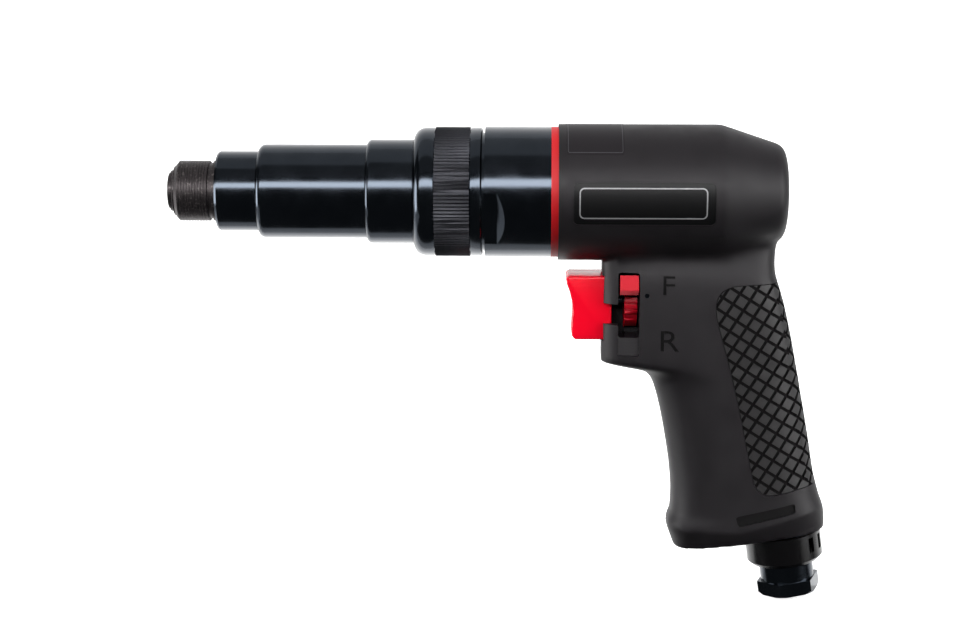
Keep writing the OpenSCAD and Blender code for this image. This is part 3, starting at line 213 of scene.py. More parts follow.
def add_bumps(tree, shader, height, strength, distance):
    """Bumps after a grey value, over a distance in metres."""
    bumps = add_node(
        tree, "ShaderNodeBump",
        inputs={"Height": height, "Strength": strength, "Distance": distance},
    )
    tree.links.new(bumps.outputs["Normal"], shader.inputs["Normal"])


# %% [markdown]
# The barrel is turned steel with a black oxide bath over it. It reflects like a dark
# mirror with a blue cast. The lathe leaves rings round the barrel, far finer than a
# pixel, drawn here at 0.5 mm so that they still streak the reflection, and the bath
# leaves faint clouds in the gloss.

# %% Black oxide steel
oxide, tree, shader, place = new_finish("black_oxide_steel", "#383d44", 0.2, 1.0)
clouds = noise(tree, place, 120.0, 4.0)
blend_shades(tree, shader, clouds, "#32373d", "#41464d")
tree.links.new(spread(tree, clouds, 0.3, 0.7, 0.13, 0.21), shader.inputs["Roughness"])
add_bumps(tree, shader, turning_rings(tree, place, (2200, 30, 30)), 0.2, 0.00002)

# %% [markdown]
# The chuck parts are phosphated steel, which is a dull brown grey with a crystalline
# skin that holds oil. It is rough, finely speckled, and worn to bare metal where
# fingers and bits rub.

# %% Phosphated steel
phosphate, tree, shader, place = new_finish("phosphated_steel", "#3f3b3b", 0.42, 0.85)
worn = spread(tree, noise(tree, place, 1100.0, 5.0), 0.55, 0.85)
blend_shades(tree, shader, worn, "#3a3637", "#7a7473")
add_bumps(tree, shader, noise(tree, place, 3500.0, 3.0), 0.5, 0.00006)

# %% [markdown]
# The housing is glass-filled nylon, moulded in a mould whose walls were spark eroded.
# It is nearly black and matte, with a fine even grain of about 0.25 mm and a very
# faint mottling where the fibres come near the skin.

# %% Moulded nylon
nylon, tree, shader, place = new_finish("moulded_nylon", "#151215", 0.5, specular=0.28)
mottle = noise(tree, place, 160.0, 6.0)
blend_shades(tree, shader, mottle, "#100d10", "#161316")
tree.links.new(spread(tree, mottle, 0.3, 0.7, 0.46, 0.56), shader.inputs["Roughness"])
add_bumps(tree, shader, noise(tree, place, 3800.0, 3.0), 0.35, 0.00005)

# %% [markdown]
# The exhaust deflector is the same nylon from a polished mould, so it is glossy and
# blacker, with only a slow waviness left in its skin. The faces inside the engravings
# and the plate recesses get a darker, dull nylon, a painted shade for the shadow in them.

# %% Glossy nylon and painted shade in engravings
gloss_nylon, tree, shader, place = new_finish("polished_nylon", "#060506", 0.24, specular=0.4)
add_bumps(tree, shader, noise(tree, place, 400.0), 0.1, 0.00006)
# Painted shade: darker, dull nylon for the faces inside engravings and recesses.
recess_shade_nylon, tree, shader, place = new_finish("nylon_painted_recess_shade", "#060506", 0.75, specular=0.15)
add_bumps(tree, shader, noise(tree, place, 3800.0, 3.0), 0.5, 0.00005)

# %% [markdown]
# The grip pad is a soft thermoplastic rubber, a shade greyer than the nylon and a
# little duller. Its grooves get a nearly black colour of their own here, a painted
# shade, because little light comes out of them again.

# %% Grip rubber
grip_rubber, tree, shader, place = new_finish("soft_grip_rubber", "#151415", 0.55, specular=0.4)
dust = noise(tree, place, 700.0, 6.0)
blend_shades(tree, shader, dust, "#111011", "#1a1819")
add_bumps(tree, shader, dust, 0.3, 0.00005)
# Painted shade: the nearly black colour of the grooves and of the pad's cut border.
groove_shade_rubber, tree, shader, place = new_finish("rubber_painted_groove_shade", "#050505", 0.8, specular=0.1)
blend_shades(tree, shader, noise(tree, place, 900.0, 4.0), "#080708", "#100e0f")

# %% [markdown]
# The trigger and the lever are red acetal, which moulds to a smooth and waxy gloss.
# Slow noise stands for the slight orange peel of its skin. The lever gets a copy of the
# same finish with less gloss and a darker red, and the darker red is a painted shade.

# %% Red acetal
acetal, tree, shader, place = new_finish("red_acetal", "#ff0026", 0.22, specular=0.4)
add_bumps(tree, shader, noise(tree, place, 600.0), 0.15, 0.00008)
# Painted shade: the lever's copy has a darker red base colour.
dull_shaded_acetal, shader = copied_finish(acetal, "red_acetal_painted_shade")
shader.inputs["Base Color"].default_value = linear("#c2001e")
shader.inputs["Roughness"].default_value = 0.45
shader.inputs["Specular IOR Level"].default_value = 0.2

# %% [markdown]
# The thin ring between the steel and the nylon is aluminium with a red anodised skin
# that was turned after sawing, so it keeps fine rings and a satin gloss. The dye lies
# in a clear oxide over the metal, so the ring reflects like a lacquer and not like a
# bare metal.

# %% Red anodised aluminium
anodised, tree, shader, place = new_finish("red_anodised_aluminium", "#c2121a", 0.5, specular=0.25)
add_bumps(tree, shader, turning_rings(tree, place, (5000, 80, 80)), 0.2, 0.00003)

# %% [markdown]
# The pieces inside are bright steel, bronze and brass, vanes of a brown resin board and
# seals of black nitrile rubber. They show only when a piece is moved, so each gets a
# short tree with the mark of its making: turning rings on what is turned and a fine
# grain on the rubber. The reverse valve shows a little behind its lever in the window,
# where shade falls, so its brass is painted nearly black as a painted shade.

# %% Metals, resin and rubber inside
def turned_finish(name, colour, roughness, metallic=1.0):
    """A turned surface with fine rings, in its bumps and in its gloss."""
    finish, tree, shader, place = new_finish(name, colour, roughness, metallic)
    rings = turning_rings(tree, place, (3000, 100, 100))
    varied = spread(tree, rings, 0.0, 1.0, roughness * 0.8, roughness * 1.3)
    tree.links.new(varied, shader.inputs["Roughness"])
    add_bumps(tree, shader, rings, 0.2, 0.00003)
    return finish


bright_steel = turned_finish("ground_steel", "#b9babd", 0.28)
brass = turned_finish("turned_brass", "#c9a659", 0.3)
# Painted shade: the reverse valve's brass is painted nearly black for the shaded window.
shaded_brass = turned_finish("brass_painted_shade", "#2a2521", 0.5)
bronze = turned_finish("sintered_bronze", "#a9814a", 0.45)
phenolic = turned_finish("phenolic_vane", "#5a4230", 0.6, 0.0)

nitrile, tree, shader, place = new_finish("nitrile_rubber", "#161617", 0.6)
add_bumps(tree, shader, noise(tree, place, 2500.0), 0.25, 0.00004)

# %% [markdown]
# Every node of the frame gets the finish of its real material. Those that a richer
# piece stands for later get one too, because they are seen in the plain model.

# %% Finish of every CAD node
FINISHES = {
    oxide: ["nose_cap", "nose_housing", "adjusting_ring", "gear_housing", "inlet_bushing",
            "ring_washer", "valve_keeper", "trigger_stem"],
    phosphate: ["spindle", "chuck_sleeve", "chuck_washer", "chuck_circlip", "output_shaft",
                "input_carrier", "rotor", "output_planet_pins", "input_planet_pins"],
    nylon: ["housing"],
    gloss_nylon: ["exhaust_deflector"],
    grip_rubber: ["grip_pad"],
    acetal: ["trigger"],
    dull_shaded_acetal: ["reverse_lever"],
    anodised: ["trim_ring"],
    nitrile: ["nose_seal", "ring_seal", "stem_seal", "inlet_seal"],
    brass: ["throttle_seat", "valve_liner"],
    shaded_brass: ["reverse_valve"],
    bronze: ["nose_bush", "muffler"],
    phenolic: ["vanes"],
}
given = {name: finish for finish, names in FINISHES.items() for name in names}
for name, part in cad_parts.items():
    part.data.materials.clear()
    part.data.materials.append(given.get(name, bright_steel))
print("finishes given to", len(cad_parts), "nodes")

# %% [markdown]
# Moulded and turned pieces start as closed shells and are then cut, as a toolmaker
# cuts a block. One helper turns a bmesh into an object, one runs a Boolean and keeps
# its result, and one gives smooth shading with crisp edges where the faces meet at
# more than 35 degrees.

# %% Helpers for pieces
def keep_piece(shell, name, finish=None):
    """The bmesh as an object of the scene, with its finish."""
    mesh = bpy.data.meshes.new(name)
    shell.to_mesh(mesh)
    shell.free()
    if finish:
        mesh.materials.append(finish)
    piece = bpy.data.objects.new(name, mesh)
    bpy.context.scene.collection.objects.link(piece)
    return piece


def settle(piece):
    """Applies the piece's modifiers to its mesh."""
    graph = bpy.context.evaluated_depsgraph_get()
    baked = bpy.data.meshes.new_from_object(piece.evaluated_get(graph))
    piece.modifiers.clear()
    old = piece.data
    piece.data = baked
    bpy.data.meshes.remove(old)


def combine(piece, tool, how="DIFFERENCE", cut_finish=None):
    """Cuts, joins or crosses the piece with a tool, which is then thrown away.
    The new faces take the piece's first finish, or the one that is given."""
    before = len(piece.data.polygons)
    finishes = list(piece.data.materials)
    if cut_finish and cut_finish not in finishes:
        piece.data.materials.append(cut_finish)
        finishes.append(cut_finish)
    tool.data.materials.clear()
    for finish in finishes:
        tool.data.materials.append(finish)
    for face in tool.data.polygons:
        face.material_index = finishes.index(cut_finish) if cut_finish else 0
    cut = piece.modifiers.new("cut", "BOOLEAN")
    cut.object = tool
    cut.operation = how
    cut.solver = "MANIFOLD"
    settle(piece)
    print(piece.name, how.lower(), tool.name, before, "->", len(piece.data.polygons), "faces")
    bpy.data.objects.remove(tool)


def crisp(piece, degrees=35):
    """Smooth shading, with an edge wherever two faces meet at more than the angle."""
    piece.data.shade_smooth()
    piece.data.set_sharp_from_angle(angle=math.radians(degrees))


def box_tool(name, low, high):
    """A box between two corners, in millimetres."""
    shell = bmesh.new()
    bmesh.ops.create_cube(shell, size=1.0)
    size = [b - a for a, b in zip(low, high)]
    middle = [(a + b) / 2 * MM for a, b in zip(low, high)]
    bmesh.ops.scale(shell, vec=[s * MM for s in size], verts=shell.verts)
    bmesh.ops.translate(shell, vec=middle, verts=shell.verts)
    return keep_piece(shell, name)


def rod_tool(name, start, end, radius, sides=48):
    """A round bar between two points, in millimetres."""
    shell = bmesh.new()
    a, b = Vector(start) * MM, Vector(end) * MM
    bmesh.ops.create_cone(
        shell, cap_ends=True, segments=sides, radius1=radius * MM, radius2=radius * MM,
        depth=(b - a).length,
    )
    turn = (b - a).to_track_quat("Z", "Y").to_matrix().to_4x4()
    bmesh.ops.transform(shell, matrix=Matrix.Translation((a + b) / 2) @ turn, verts=shell.verts)
    return keep_piece(shell, name)


def turned_shell(profile, sides, closed=True):
    """A bmesh turned round the barrel's axis from (place, radius) points in millimetres."""
    shell = bmesh.new()
    points = [shell.verts.new((x * MM, 0.0, r * MM)) for x, r in profile]
    pairs = list(zip(points, points[1:]))
    if closed:
        pairs.append((points[-1], points[0]))
    edges = [shell.edges.new(pair) for pair in pairs]
    bmesh.ops.spin(
        shell, geom=points + edges, cent=(0, 0, 0), axis=(1, 0, 0), angle=math.tau,
        steps=sides, use_merge=True,
    )
    bmesh.ops.remove_doubles(shell, verts=shell.verts, dist=0.000001)
    bmesh.ops.recalc_face_normals(shell, faces=shell.faces)
    return shell


def rounded(points, times=3):
    """Cuts the corners off a closed outline a few times, so that it ends up smooth."""
    for _ in range(times):
        soft = []
        for (ax, az), (bx, bz) in zip(points, points[1:] + points[:1]):
            soft.append((ax * 0.75 + bx * 0.25, az * 0.75 + bz * 0.25))
            soft.append((ax * 0.25 + bx * 0.75, az * 0.25 + bz * 0.75))
        points = soft
    return points


def held(points, hold):
    """Adds a point near both ends of each side, so that rounding stays within that distance."""
    out = []
    for (ax, az), (bx, bz) in zip(points, points[1:] + points[:1]):
        share = min(0.45, hold / math.hypot(bx - ax, bz - az))
        out += [(ax + (bx - ax) * s, az + (bz - az) * s) for s in (0.0, share, 1.0 - share)]
    return out


def round_box(x0, x1, z0, z1, r):
    """The outline of a rectangle with round corners, in millimetres."""
    centres = (
        (x1 - r, z1 - r, 0), (x0 + r, z1 - r, 90), (x0 + r, z0 + r, 180), (x1 - r, z0 + r, 270),
    )
    corners = [
        (cx, cz, math.radians(start + step))
        for cx, cz, start in centres for step in range(0, 91, 15)
    ]
    return [(cx + r * math.cos(turn), cz + r * math.sin(turn)) for cx, cz, turn in corners]


def prism_tool(name, outline, near, far):
    """An outline in the XZ plane pushed from y = near to y = far, in millimetres."""
    shell = bmesh.new()
    ring = [shell.verts.new((x * MM, near * MM, z * MM)) for x, z in outline]
    face = shell.faces.new(ring)
    pushed = bmesh.ops.extrude_face_region(shell, geom=[face])
    moved = [g for g in pushed["geom"] if isinstance(g, bmesh.types.BMVert)]
    bmesh.ops.translate(shell, vec=(0, (far - near) * MM, 0), verts=moved)
    bmesh.ops.recalc_face_normals(shell, faces=shell.faces)
    return keep_piece(shell, name)


# %% [markdown]
# The handle is a loft. Its cross sections are blunt ovals, and each row below gives
# one of them: the height, the reach to the front and to the back as shares of the
# whole, half the width as a share, and how blunt the oval is. A mould maker would
# draw smooth rails through such sections, so the rows are joined here by a curve that
# never swings past them.

# %% The handle's sections
COLUMN_X, REACH, HEIGHT, HALF_WIDTH = 147.0, 77.6, 126.0, 15.6
TOP_SHARE, FOOT_SHARE = 0.071, 1.008
SECTIONS = [
    (0.071, -0.012, 0.745, 0.620, 3.4), (0.135, -0.012, 0.756, 0.700, 3.6),
    (0.177, -0.012, 0.752, 0.775, 3.6), (0.206, -0.012, 0.752, 0.825, 3.6),
    (0.238, -0.012, 0.767, 0.862, 3.6), (0.292, -0.012, 0.794, 0.888, 3.6),
    (0.342, -0.012, 0.814, 0.900, 3.6), (0.397, -0.012, 0.834, 0.910, 3.5),
    (0.440, -0.012, 0.848, 0.915, 3.4), (0.455, -0.012, 0.853, 0.915, 3.3),
    (0.463, 0.045, 0.856, 0.915, 3.1), (0.478, 0.170, 0.861, 0.920, 2.8),
    (0.500, 0.214, 0.869, 0.920, 2.6), (0.532, 0.236, 0.878, 0.920, 2.6),
    (0.595, 0.263, 0.898, 0.925, 2.6), (0.679, 0.289, 0.923, 0.940, 2.6),
    (0.762, 0.309, 0.946, 0.960, 2.6), (0.825, 0.316, 0.973, 0.970, 2.7),
    (0.873, 0.314, 0.998, 0.985, 2.8), (0.909, 0.297, 1.001, 1.000, 3.0),
    (0.952, 0.318, 0.996, 1.000, 3.0), (1.008, 0.352, 0.970, 0.960, 3.0),
]


def section_slopes(column):
    """A slope for each row that keeps the curve from swinging past the rows."""
    rows = [(row[0], row[column]) for row in SECTIONS]
    steps = [(b[1] - a[1]) / (b[0] - a[0]) for a, b in zip(rows, rows[1:])]
    slopes = [steps[0]]
    for left, right in zip(steps, steps[1:]):
        slopes.append(0.0 if left * right <= 0 else 2 * left * right / (left + right))
    return slopes + [steps[-1]]


SLOPES = [section_slopes(column) for column in range(1, 5)]


def section_at(share):
    """The section at any height: front, back, half width in millimetres, and bluntness."""
    i = max(k for k in range(len(SECTIONS) - 1) if SECTIONS[k][0] <= share or k == 0)
    a, b = SECTIONS[i], SECTIONS[i + 1]
    gap = b[0] - a[0]
    t = min(1.0, max(0.0, (share - a[0]) / gap))
    values = []
    for column in range(1, 5):
        slope_a, slope_b = SLOPES[column - 1][i], SLOPES[column - 1][i + 1]
        values.append(
            (2 * t**3 - 3 * t**2 + 1) * a[column] + (t**3 - 2 * t**2 + t) * gap * slope_a
            + (3 * t**2 - 2 * t**3) * b[column] + (t**3 - t**2) * gap * slope_b
        )
    front, back, width, blunt = values
    return COLUMN_X + REACH * front, COLUMN_X + REACH * back, HALF_WIDTH * width, blunt


def oval(share, grow, sides):
    """Evenly spaced points of the section at a height, from the back's middle round."""
    front, back, half_w, blunt = section_at(share)
    front, back, half_w = front - grow, back + grow, half_w + grow
    middle, half = (front + back) / 2, (back - front) / 2
    fine, run = [], [0.0]
    for k in range(361):
        a = math.tau * k / 360
        c, s = math.cos(a), math.sin(a)
        fine.append((
            middle + half * math.copysign(abs(c) ** (2 / blunt), c),
            half_w * math.copysign(abs(s) ** (2 / blunt), -s),
        ))
        if k:
            run.append(run[-1] + math.dist(fine[-1], fine[-2]))
    points, k = [], 0
    for place in (run[-1] * side / sides for side in range(sides)):
        while run[k + 1] < place and k < 359:
            k += 1
        t = (place - run[k]) / max(1e-9, run[k + 1] - run[k])
        points.append(tuple(p + (q - p) * t for p, q in zip(fine[k], fine[k + 1])))
    return points


def loft(shares, sides, grow=0.0):
    """A closed bmesh through the handle's sections."""
    rings = [oval(share, grow, sides) for share in shares]
    wide, tall = sides, len(shares) - 1
    shell = bmesh.new()
    bmesh.ops.create_grid(shell, x_segments=wide, y_segments=tall, size=0.5)
    for vert in shell.verts:
        u = round((vert.co.x + 0.5) * wide) % wide
        v = round((vert.co.y + 0.5) * tall)
        x, y = rings[v][u]
        vert.co = (x * MM, y * MM, -HEIGHT * shares[v] * MM)
    bmesh.ops.remove_doubles(shell, verts=shell.verts, dist=0.000001)
    bmesh.ops.holes_fill(shell, edges=shell.edges, sides=0)
    bmesh.ops.recalc_face_normals(shell, faces=shell.faces)
    return shell


def steps_between(a, b, count):
    """Evenly spaced values from a to b, both included."""
    return [a + (b - a) * k / count for k in range(count + 1)]


# %% [markdown]
# The housing is one moulding, the barrel and the grip together, and where they meet
# the mould has a soft fillet. Two closed shells, one turned and one lofted, are put in
# one mesh and wrapped by a voxel remesh, which joins them, and smoothing the wrapped
# skin rounds the joint. Crisp features are cut afterwards, so that the smoothing
# doesn't blur them. Round the foot runs a crease, and under it the points of the
# skin are drawn in, so that the band there faces down and stays dark.

# %% Barrel and grip in one skin
BODY_X, BODY_R, TAIL_X = 131.9, 23.0, 186.7
SKIN_R = BODY_R - 0.04
INLET = Vector((210.5, 0.0, -117.9))
TILT = math.radians(8)
OUT = Vector((math.sin(TILT), 0.0, -math.cos(TILT)))


def foot_frame():
    """Local +Z runs out of the foot, along the air inlet."""
    return Matrix.Translation(INLET * MM) @ Matrix.Rotation(math.pi - TILT, 4, "Y")


def wrap(piece, size):
    """Wraps the piece in one new skin of small even faces, of a size in millimetres."""
    wrapping = piece.modifiers.new("wrap", "REMESH")
    wrapping.mode = "VOXEL"
    wrapping.voxel_size = size * MM
    settle(piece)


def smooth(shell, verts, times):
    """Draws points half way to the middle of their neighbours, a number of times."""
    for _ in range(times):
        bmesh.ops.smooth_vert(
            shell, verts=verts, factor=0.5, use_axis_x=True, use_axis_y=True, use_axis_z=True
        )


barrel_profile = [
    (128.9, 0.0), (128.9, SKIN_R), (TAIL_X - 1.5, SKIN_R), (TAIL_X, BODY_R - 0.12),
    (TAIL_X + 1.5, BODY_R - 0.6), (205.4, 16.65), (206.7, 15.9), (207.7, 14.7),
    (208.4, 12.6), (208.9, 8.0), (209.15, 3.5), (209.2, 0.0),
]
skin = turned_shell(barrel_profile, 144, closed=False)
grip_shell = loft(steps_between(TOP_SHARE, FOOT_SHARE, 110), 160)
grip_mesh = bpy.data.meshes.new("grip_shell")
grip_shell.to_mesh(grip_mesh)
grip_shell.free()
skin.from_mesh(grip_mesh)
bpy.data.meshes.remove(grip_mesh)
housing_skin = keep_piece(skin, "housing_skin", nylon)
wrap(housing_skin, 0.6)

foot_cut = bmesh.new()
bmesh.ops.create_cube(foot_cut, size=1.0)
bmesh.ops.scale(foot_cut, vec=(0.16, 0.1, 0.03), verts=foot_cut.verts)
bmesh.ops.translate(foot_cut, vec=(0, 0, 0.015), verts=foot_cut.verts)
bmesh.ops.transform(foot_cut, matrix=foot_frame(), verts=foot_cut.verts)
combine(housing_skin, keep_piece(foot_cut, "foot_cut"))
wrap(housing_skin, 0.7)

CREASE_PULL, CREASE_REACH = 0.36, 6.0
CREASE = [(150.0, -112.3), (168.8, -112.8), (176.0, -115.4), (195.0, -115.3),
          (221.2, -107.9), (240.0, -102.6)]


def crease_height(x):
    """Height of the foot's crease at a place along it, in millimetres."""
    for (ax, az), (bx, bz) in zip(CREASE, CREASE[1:]):
        if x <= bx or bx == CREASE[-1][0]:
            return az + (bz - az) * (x - ax) / (bx - ax)


soften = bmesh.new()
soften.from_mesh(housing_skin.data)
smooth(soften, soften.verts, 4)
joint_band = [
    v for v in soften.verts
    if 0.1515 < v.co.x < 0.206 and -0.030 < v.co.z < -0.0125
    and abs(math.hypot(v.co.y, v.co.z) - BODY_R * MM) < 0.006
]
smooth(soften, joint_band, 40)
under_crease = 0
for vert in soften.verts:
    x, y, z = (c / MM for c in vert.co)
    drop = crease_height(x) - z
    if drop > 0:
        half_w = section_at(-z / HEIGHT)[2]
        vert.co.y = y * (1 - CREASE_PULL * min(drop, CREASE_REACH) / half_w) * MM
        under_crease += 1
print("under the crease", under_crease, "points drawn in")
soften.to_mesh(housing_skin.data)
soften.free()
print("skin", len(housing_skin.data.polygons), "faces")

# %% [markdown]
# Now the crisp cuts: the front bore, the trigger's pocket, the window of the reverse
# lever with the sloping recess under it, the valve's bore, the air ways and the foot's
# bores.

# %% Cut the housing
VALVE_Z = -37.1
WINDOW_FRONT, WINDOW_BACK, OUTSIDE = 152.2, 159.4, -31.2
combine(housing_skin, box_tool("front_trim", (120, -30, -40), (BODY_X, 30, 30)))
under_barrel = box_tool("under_barrel", (120, -30, -66), (COLUMN_X - 0.05, 30, -10))
combine(under_barrel, rod_tool("barrel_core", (110, 0, 0), (180, 0, 0), BODY_R + 0.02, 144))
combine(housing_skin, under_barrel)
bore = turned_shell(
    [(130.9, 0.0), (130.9, 20.52), (137.1, 20.52), (137.1, 19.42), (188.6, 19.42), (188.6, 0.0)],
    96, closed=False,
)
combine(housing_skin, keep_piece(bore, "motor_bore"))
combine(housing_skin, box_tool("trigger_pocket", (146, -8.0, -49.9), (154.6, 8.0, -27.3)))
window_outline = round_box(WINDOW_FRONT, WINDOW_BACK, -48.1, -25.6, 1.0)
combine(housing_skin, prism_tool("lever_window", window_outline, OUTSIDE, 0.0))
hub_ends = [(x, 0, VALVE_Z) for x in (WINDOW_FRONT, WINDOW_BACK)]
combine(housing_skin, rod_tool("hub_room", *hub_ends, 9.4, 64))
combine(housing_skin, box_tool("side_notch", (146, OUTSIDE, -43.65), (153.2, 0, -36.55)))
under_outline = round_box(WINDOW_FRONT, WINDOW_BACK, -54.0, -45.0, 0.8)
under_recess = prism_tool("under_recess", under_outline, OUTSIDE, -10.0)
for vert in under_recess.data.vertices:
    if vert.co.y > -0.02:
        vert.co.y -= 0.15 * (-45 * MM - vert.co.z)
combine(housing_skin, under_recess)
combine(housing_skin, rod_tool("valve_bore", (152.3, 0, VALVE_Z), (163.6, 0, VALVE_Z), 6.55, 64))
combine(housing_skin, rod_tool("liner_bore", (163.1, 0, VALVE_Z), (191.8, 0, VALVE_Z), 8.02, 64))
combine(housing_skin, rod_tool("keeper_hole", (161.8, -30, -33.2), (161.8, 30, -33.2), 0.82, 24))
combine(housing_skin, rod_tool("feed_way", (186.8, 0, VALVE_Z), (210.5, 0, -102.4), 3.4))
combine(housing_skin, box_tool("gallery", (169.1, -7.5, -26.4), (197.1, 7.5, -14.55)))
for side in (-7.5, 7.5):
    combine(housing_skin, rod_tool("exhaust_way", (195.7, side, -22), (201.6, side, -109.9), 2.8))
for side in (-4, 4):
    combine(housing_skin, rod_tool("motor_port", (165.3, side, VALVE_Z), (165.3, side, -18.4), 2.2))
for name, start, end, radius in (("foot_bore", 9.0, -2.0, 11.5), ("shank_bore", 22.0, 8.0, 6.82)):
    combine(housing_skin, rod_tool(name, INLET - OUT * start, INLET - OUT * end, radius, 64))

# %% [markdown]
# A recess that follows the skin at an even depth is cut with a prism that first loses
# the shrunken form under it. The grip pad lies in such a recess, and near the foot each
# side has one for a bare plate. The label places on the barrel lose a cylinder instead.

# %% Recesses
GRIP_OUTLINE = rounded([
    (COLUMN_X + REACH * a, -HEIGHT * b) for a, b in (
        (0.500, 0.345), (0.487, 0.310), (0.487, 0.280), (0.505, 0.255), (0.545, 0.239),
        (0.600, 0.234), (0.780, 0.234), (1.100, 0.234), (1.100, 0.792), (0.925, 0.788),
        (0.770, 0.810), (0.710, 0.808), (0.672, 0.785), (0.655, 0.745), (0.580, 0.520),
    )
], 2)
PAD_DEEP = 1.2


def inner_form(depth):
    """The handle's form, shrunk evenly."""
    return keep_piece(loft(steps_between(TOP_SHARE, FOOT_SHARE, 60), 96, -depth), "inner_form")


def skin_recess(outline, depth, near=-40, far=40, finish=None):
    """Cuts a recess of even depth into the housing within an outline."""
    tool = prism_tool("recess", outline, near, far)
    combine(tool, inner_form(depth))
    combine(housing_skin, tool, cut_finish=finish)


skin_recess(GRIP_OUTLINE, PAD_DEEP)
plate_corners = [(193.0, -109.4), (213.2, -104.9), (213.5, -108.3), (194.0, -112.9)]
# The plate recesses' cut faces get the painted recess shade.
for side in (-40, 40):
    skin_recess(rounded(held(plate_corners, 3.0), 3), 0.6, side, side / 8, recess_shade_nylon)

LABEL_FLOOR = BODY_R - 0.45
for near, far in ((-30, -10), (30, 10)):
    label_place = prism_tool("label_place", round_box(136.8, 183.5, -7.9, 6.2, 1.6), near, far)
    combine(label_place, rod_tool("core", (120, 0, 0), (230, 0, 0), LABEL_FLOOR, 192))
    combine(housing_skin, label_place)

# %% [markdown]
# Two plain letters are engraved by the window, F for forward and R for reverse, as on
# any tool that turns both ways. They come from Blender's own font, are pushed through
# the side of the grip and cut to 0.6 mm deep.

# %% Engraved letters
FONT_SIZE_PER_HEIGHT, LETTER_STRETCH = 1.43, 1.15


def letter_tool(letter, x, z, height):
    """A letter as a closed solid across the grip's left side, with its middle at (x, z)."""
    curve = bpy.data.curves.new("letter", "FONT")
    curve.body = letter
    curve.size = height * FONT_SIZE_PER_HEIGHT * MM
    curve.extrude = 10 * MM
    curve.align_x = "CENTER"
    maker = bpy.data.objects.new("letter", curve)
    bpy.context.scene.collection.objects.link(maker)
    graph = bpy.context.evaluated_depsgraph_get()
    mesh = bpy.data.meshes.new_from_object(maker.evaluated_get(graph))
    bpy.data.objects.remove(maker)
    shell = bmesh.new()
    shell.from_mesh(mesh)
    bmesh.ops.remove_doubles(shell, verts=shell.verts, dist=0.000001)
    bmesh.ops.scale(shell, vec=(LETTER_STRETCH, 1, 1), verts=shell.verts)
    bmesh.ops.rotate(shell, matrix=Matrix.Rotation(math.pi / 2, 3, "X"), verts=shell.verts)
    low = min(v.co.z for v in shell.verts)
    high = max(v.co.z for v in shell.verts)
    bmesh.ops.translate(
        shell, vec=(x * MM, -15 * MM, z * MM - (low + high) / 2), verts=shell.verts
    )
    bmesh.ops.recalc_face_normals(shell, faces=shell.faces)
    return keep_piece(shell, "letter_" + letter)


# The letters' cut faces get the painted recess shade.
for letter, x, z, height in (("F", 168.9, -29.7, 6.5), ("R", 169.2, -48.5, 7.1)):
    tool = letter_tool(letter, x, z, height)
    combine(tool, inner_form(0.6))
    combine(housing_skin, tool, cut_finish=recess_shade_nylon)

crisp(housing_skin)
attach(housing_skin, "housing")
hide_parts("housing")

# %% [markdown]
# The grip pad is rubber with a pattern of square studs set on edge. The studs are
# 3.1 mm wide with grooves of 1.05 mm between them, 0.8 mm deep, in two crossing rows
# that run at 45 degrees to the line down the grip's back. A mould for it is milled with
# straight grooves from each side and from behind, and the piece is made the same way: a
# smooth layer over the grip is cut by rows of parallel slabs. The two directions change
# over where the skin turns past 45 degrees, 8.95 mm to each side of the middle, and the
# rows from behind lie half a step further along, so that the grooves run on. The slabs
# first lose the form that lies 0.8 mm under the skin, so that they stop at that depth.

# %% Grip pad
STUD, GROOVE, GROOVE_DEEP = 3.1, 1.05, 0.8
PAD_MIDDLE = Vector((206.0, 0.0, -65.5))
GRIP_LEAN = math.radians(12.2)
BACK_BAND = 8.95
SLAB_DEEP, SLAB_LONG = 0.08, 0.16


def moved_in(outline, gap):
    """The closed outline, moved inwards by a gap in millimetres."""
    area = sum(ax * bz - bx * az for (ax, az), (bx, bz) in zip(outline, outline[1:] + outline[:1]))
    turn = math.copysign(gap, area)
    out = []
    for i, (x, z) in enumerate(outline):
        (ax, az), (bx, bz) = outline[i - 1], outline[(i + 1) % len(outline)]
        long = math.hypot(bx - ax, bz - az)
        out.append((x - turn * (bz - az) / long, z + turn * (bx - ax) / long))
    return out


def slab_row(slant, from_behind):
    """Slabs that run across the handle or into its back, at an angle to the line down it."""
    shell = bmesh.new()
    for k in range(-14, 15):
        slab = bmesh.ops.create_cube(shell, size=1.0)["verts"]
        if from_behind:
            size = (SLAB_DEEP, GROOVE * MM, SLAB_LONG)
            step = (0, (STUD + GROOVE) * (k + 0.5) * MM, 0)
        else:
            size = (GROOVE * MM, SLAB_DEEP, SLAB_LONG)
            step = ((STUD + GROOVE) * k * MM, 0, 0)
        bmesh.ops.scale(shell, vec=size, verts=slab)
        bmesh.ops.translate(shell, vec=step, verts=slab)
    turn = Matrix.Rotation(slant, 4, "X" if from_behind else "Y")
    place = Matrix.Translation(PAD_MIDDLE * MM) @ Matrix.Rotation(-GRIP_LEAN, 4, "Y") @ turn
    bmesh.ops.transform(shell, matrix=place, verts=shell.verts)
    slabs = keep_piece(shell, "slab_row")
    band = box_tool("back_band", (100, -BACK_BAND, -200), (300, BACK_BAND, 60))
    combine(slabs, band, "INTERSECT" if from_behind else "DIFFERENCE")
    return slabs


pad_blank = loft(steps_between(0.19, 0.85, 90), 160, -0.05)
studded_pad = keep_piece(pad_blank, "studded_pad", grip_rubber)
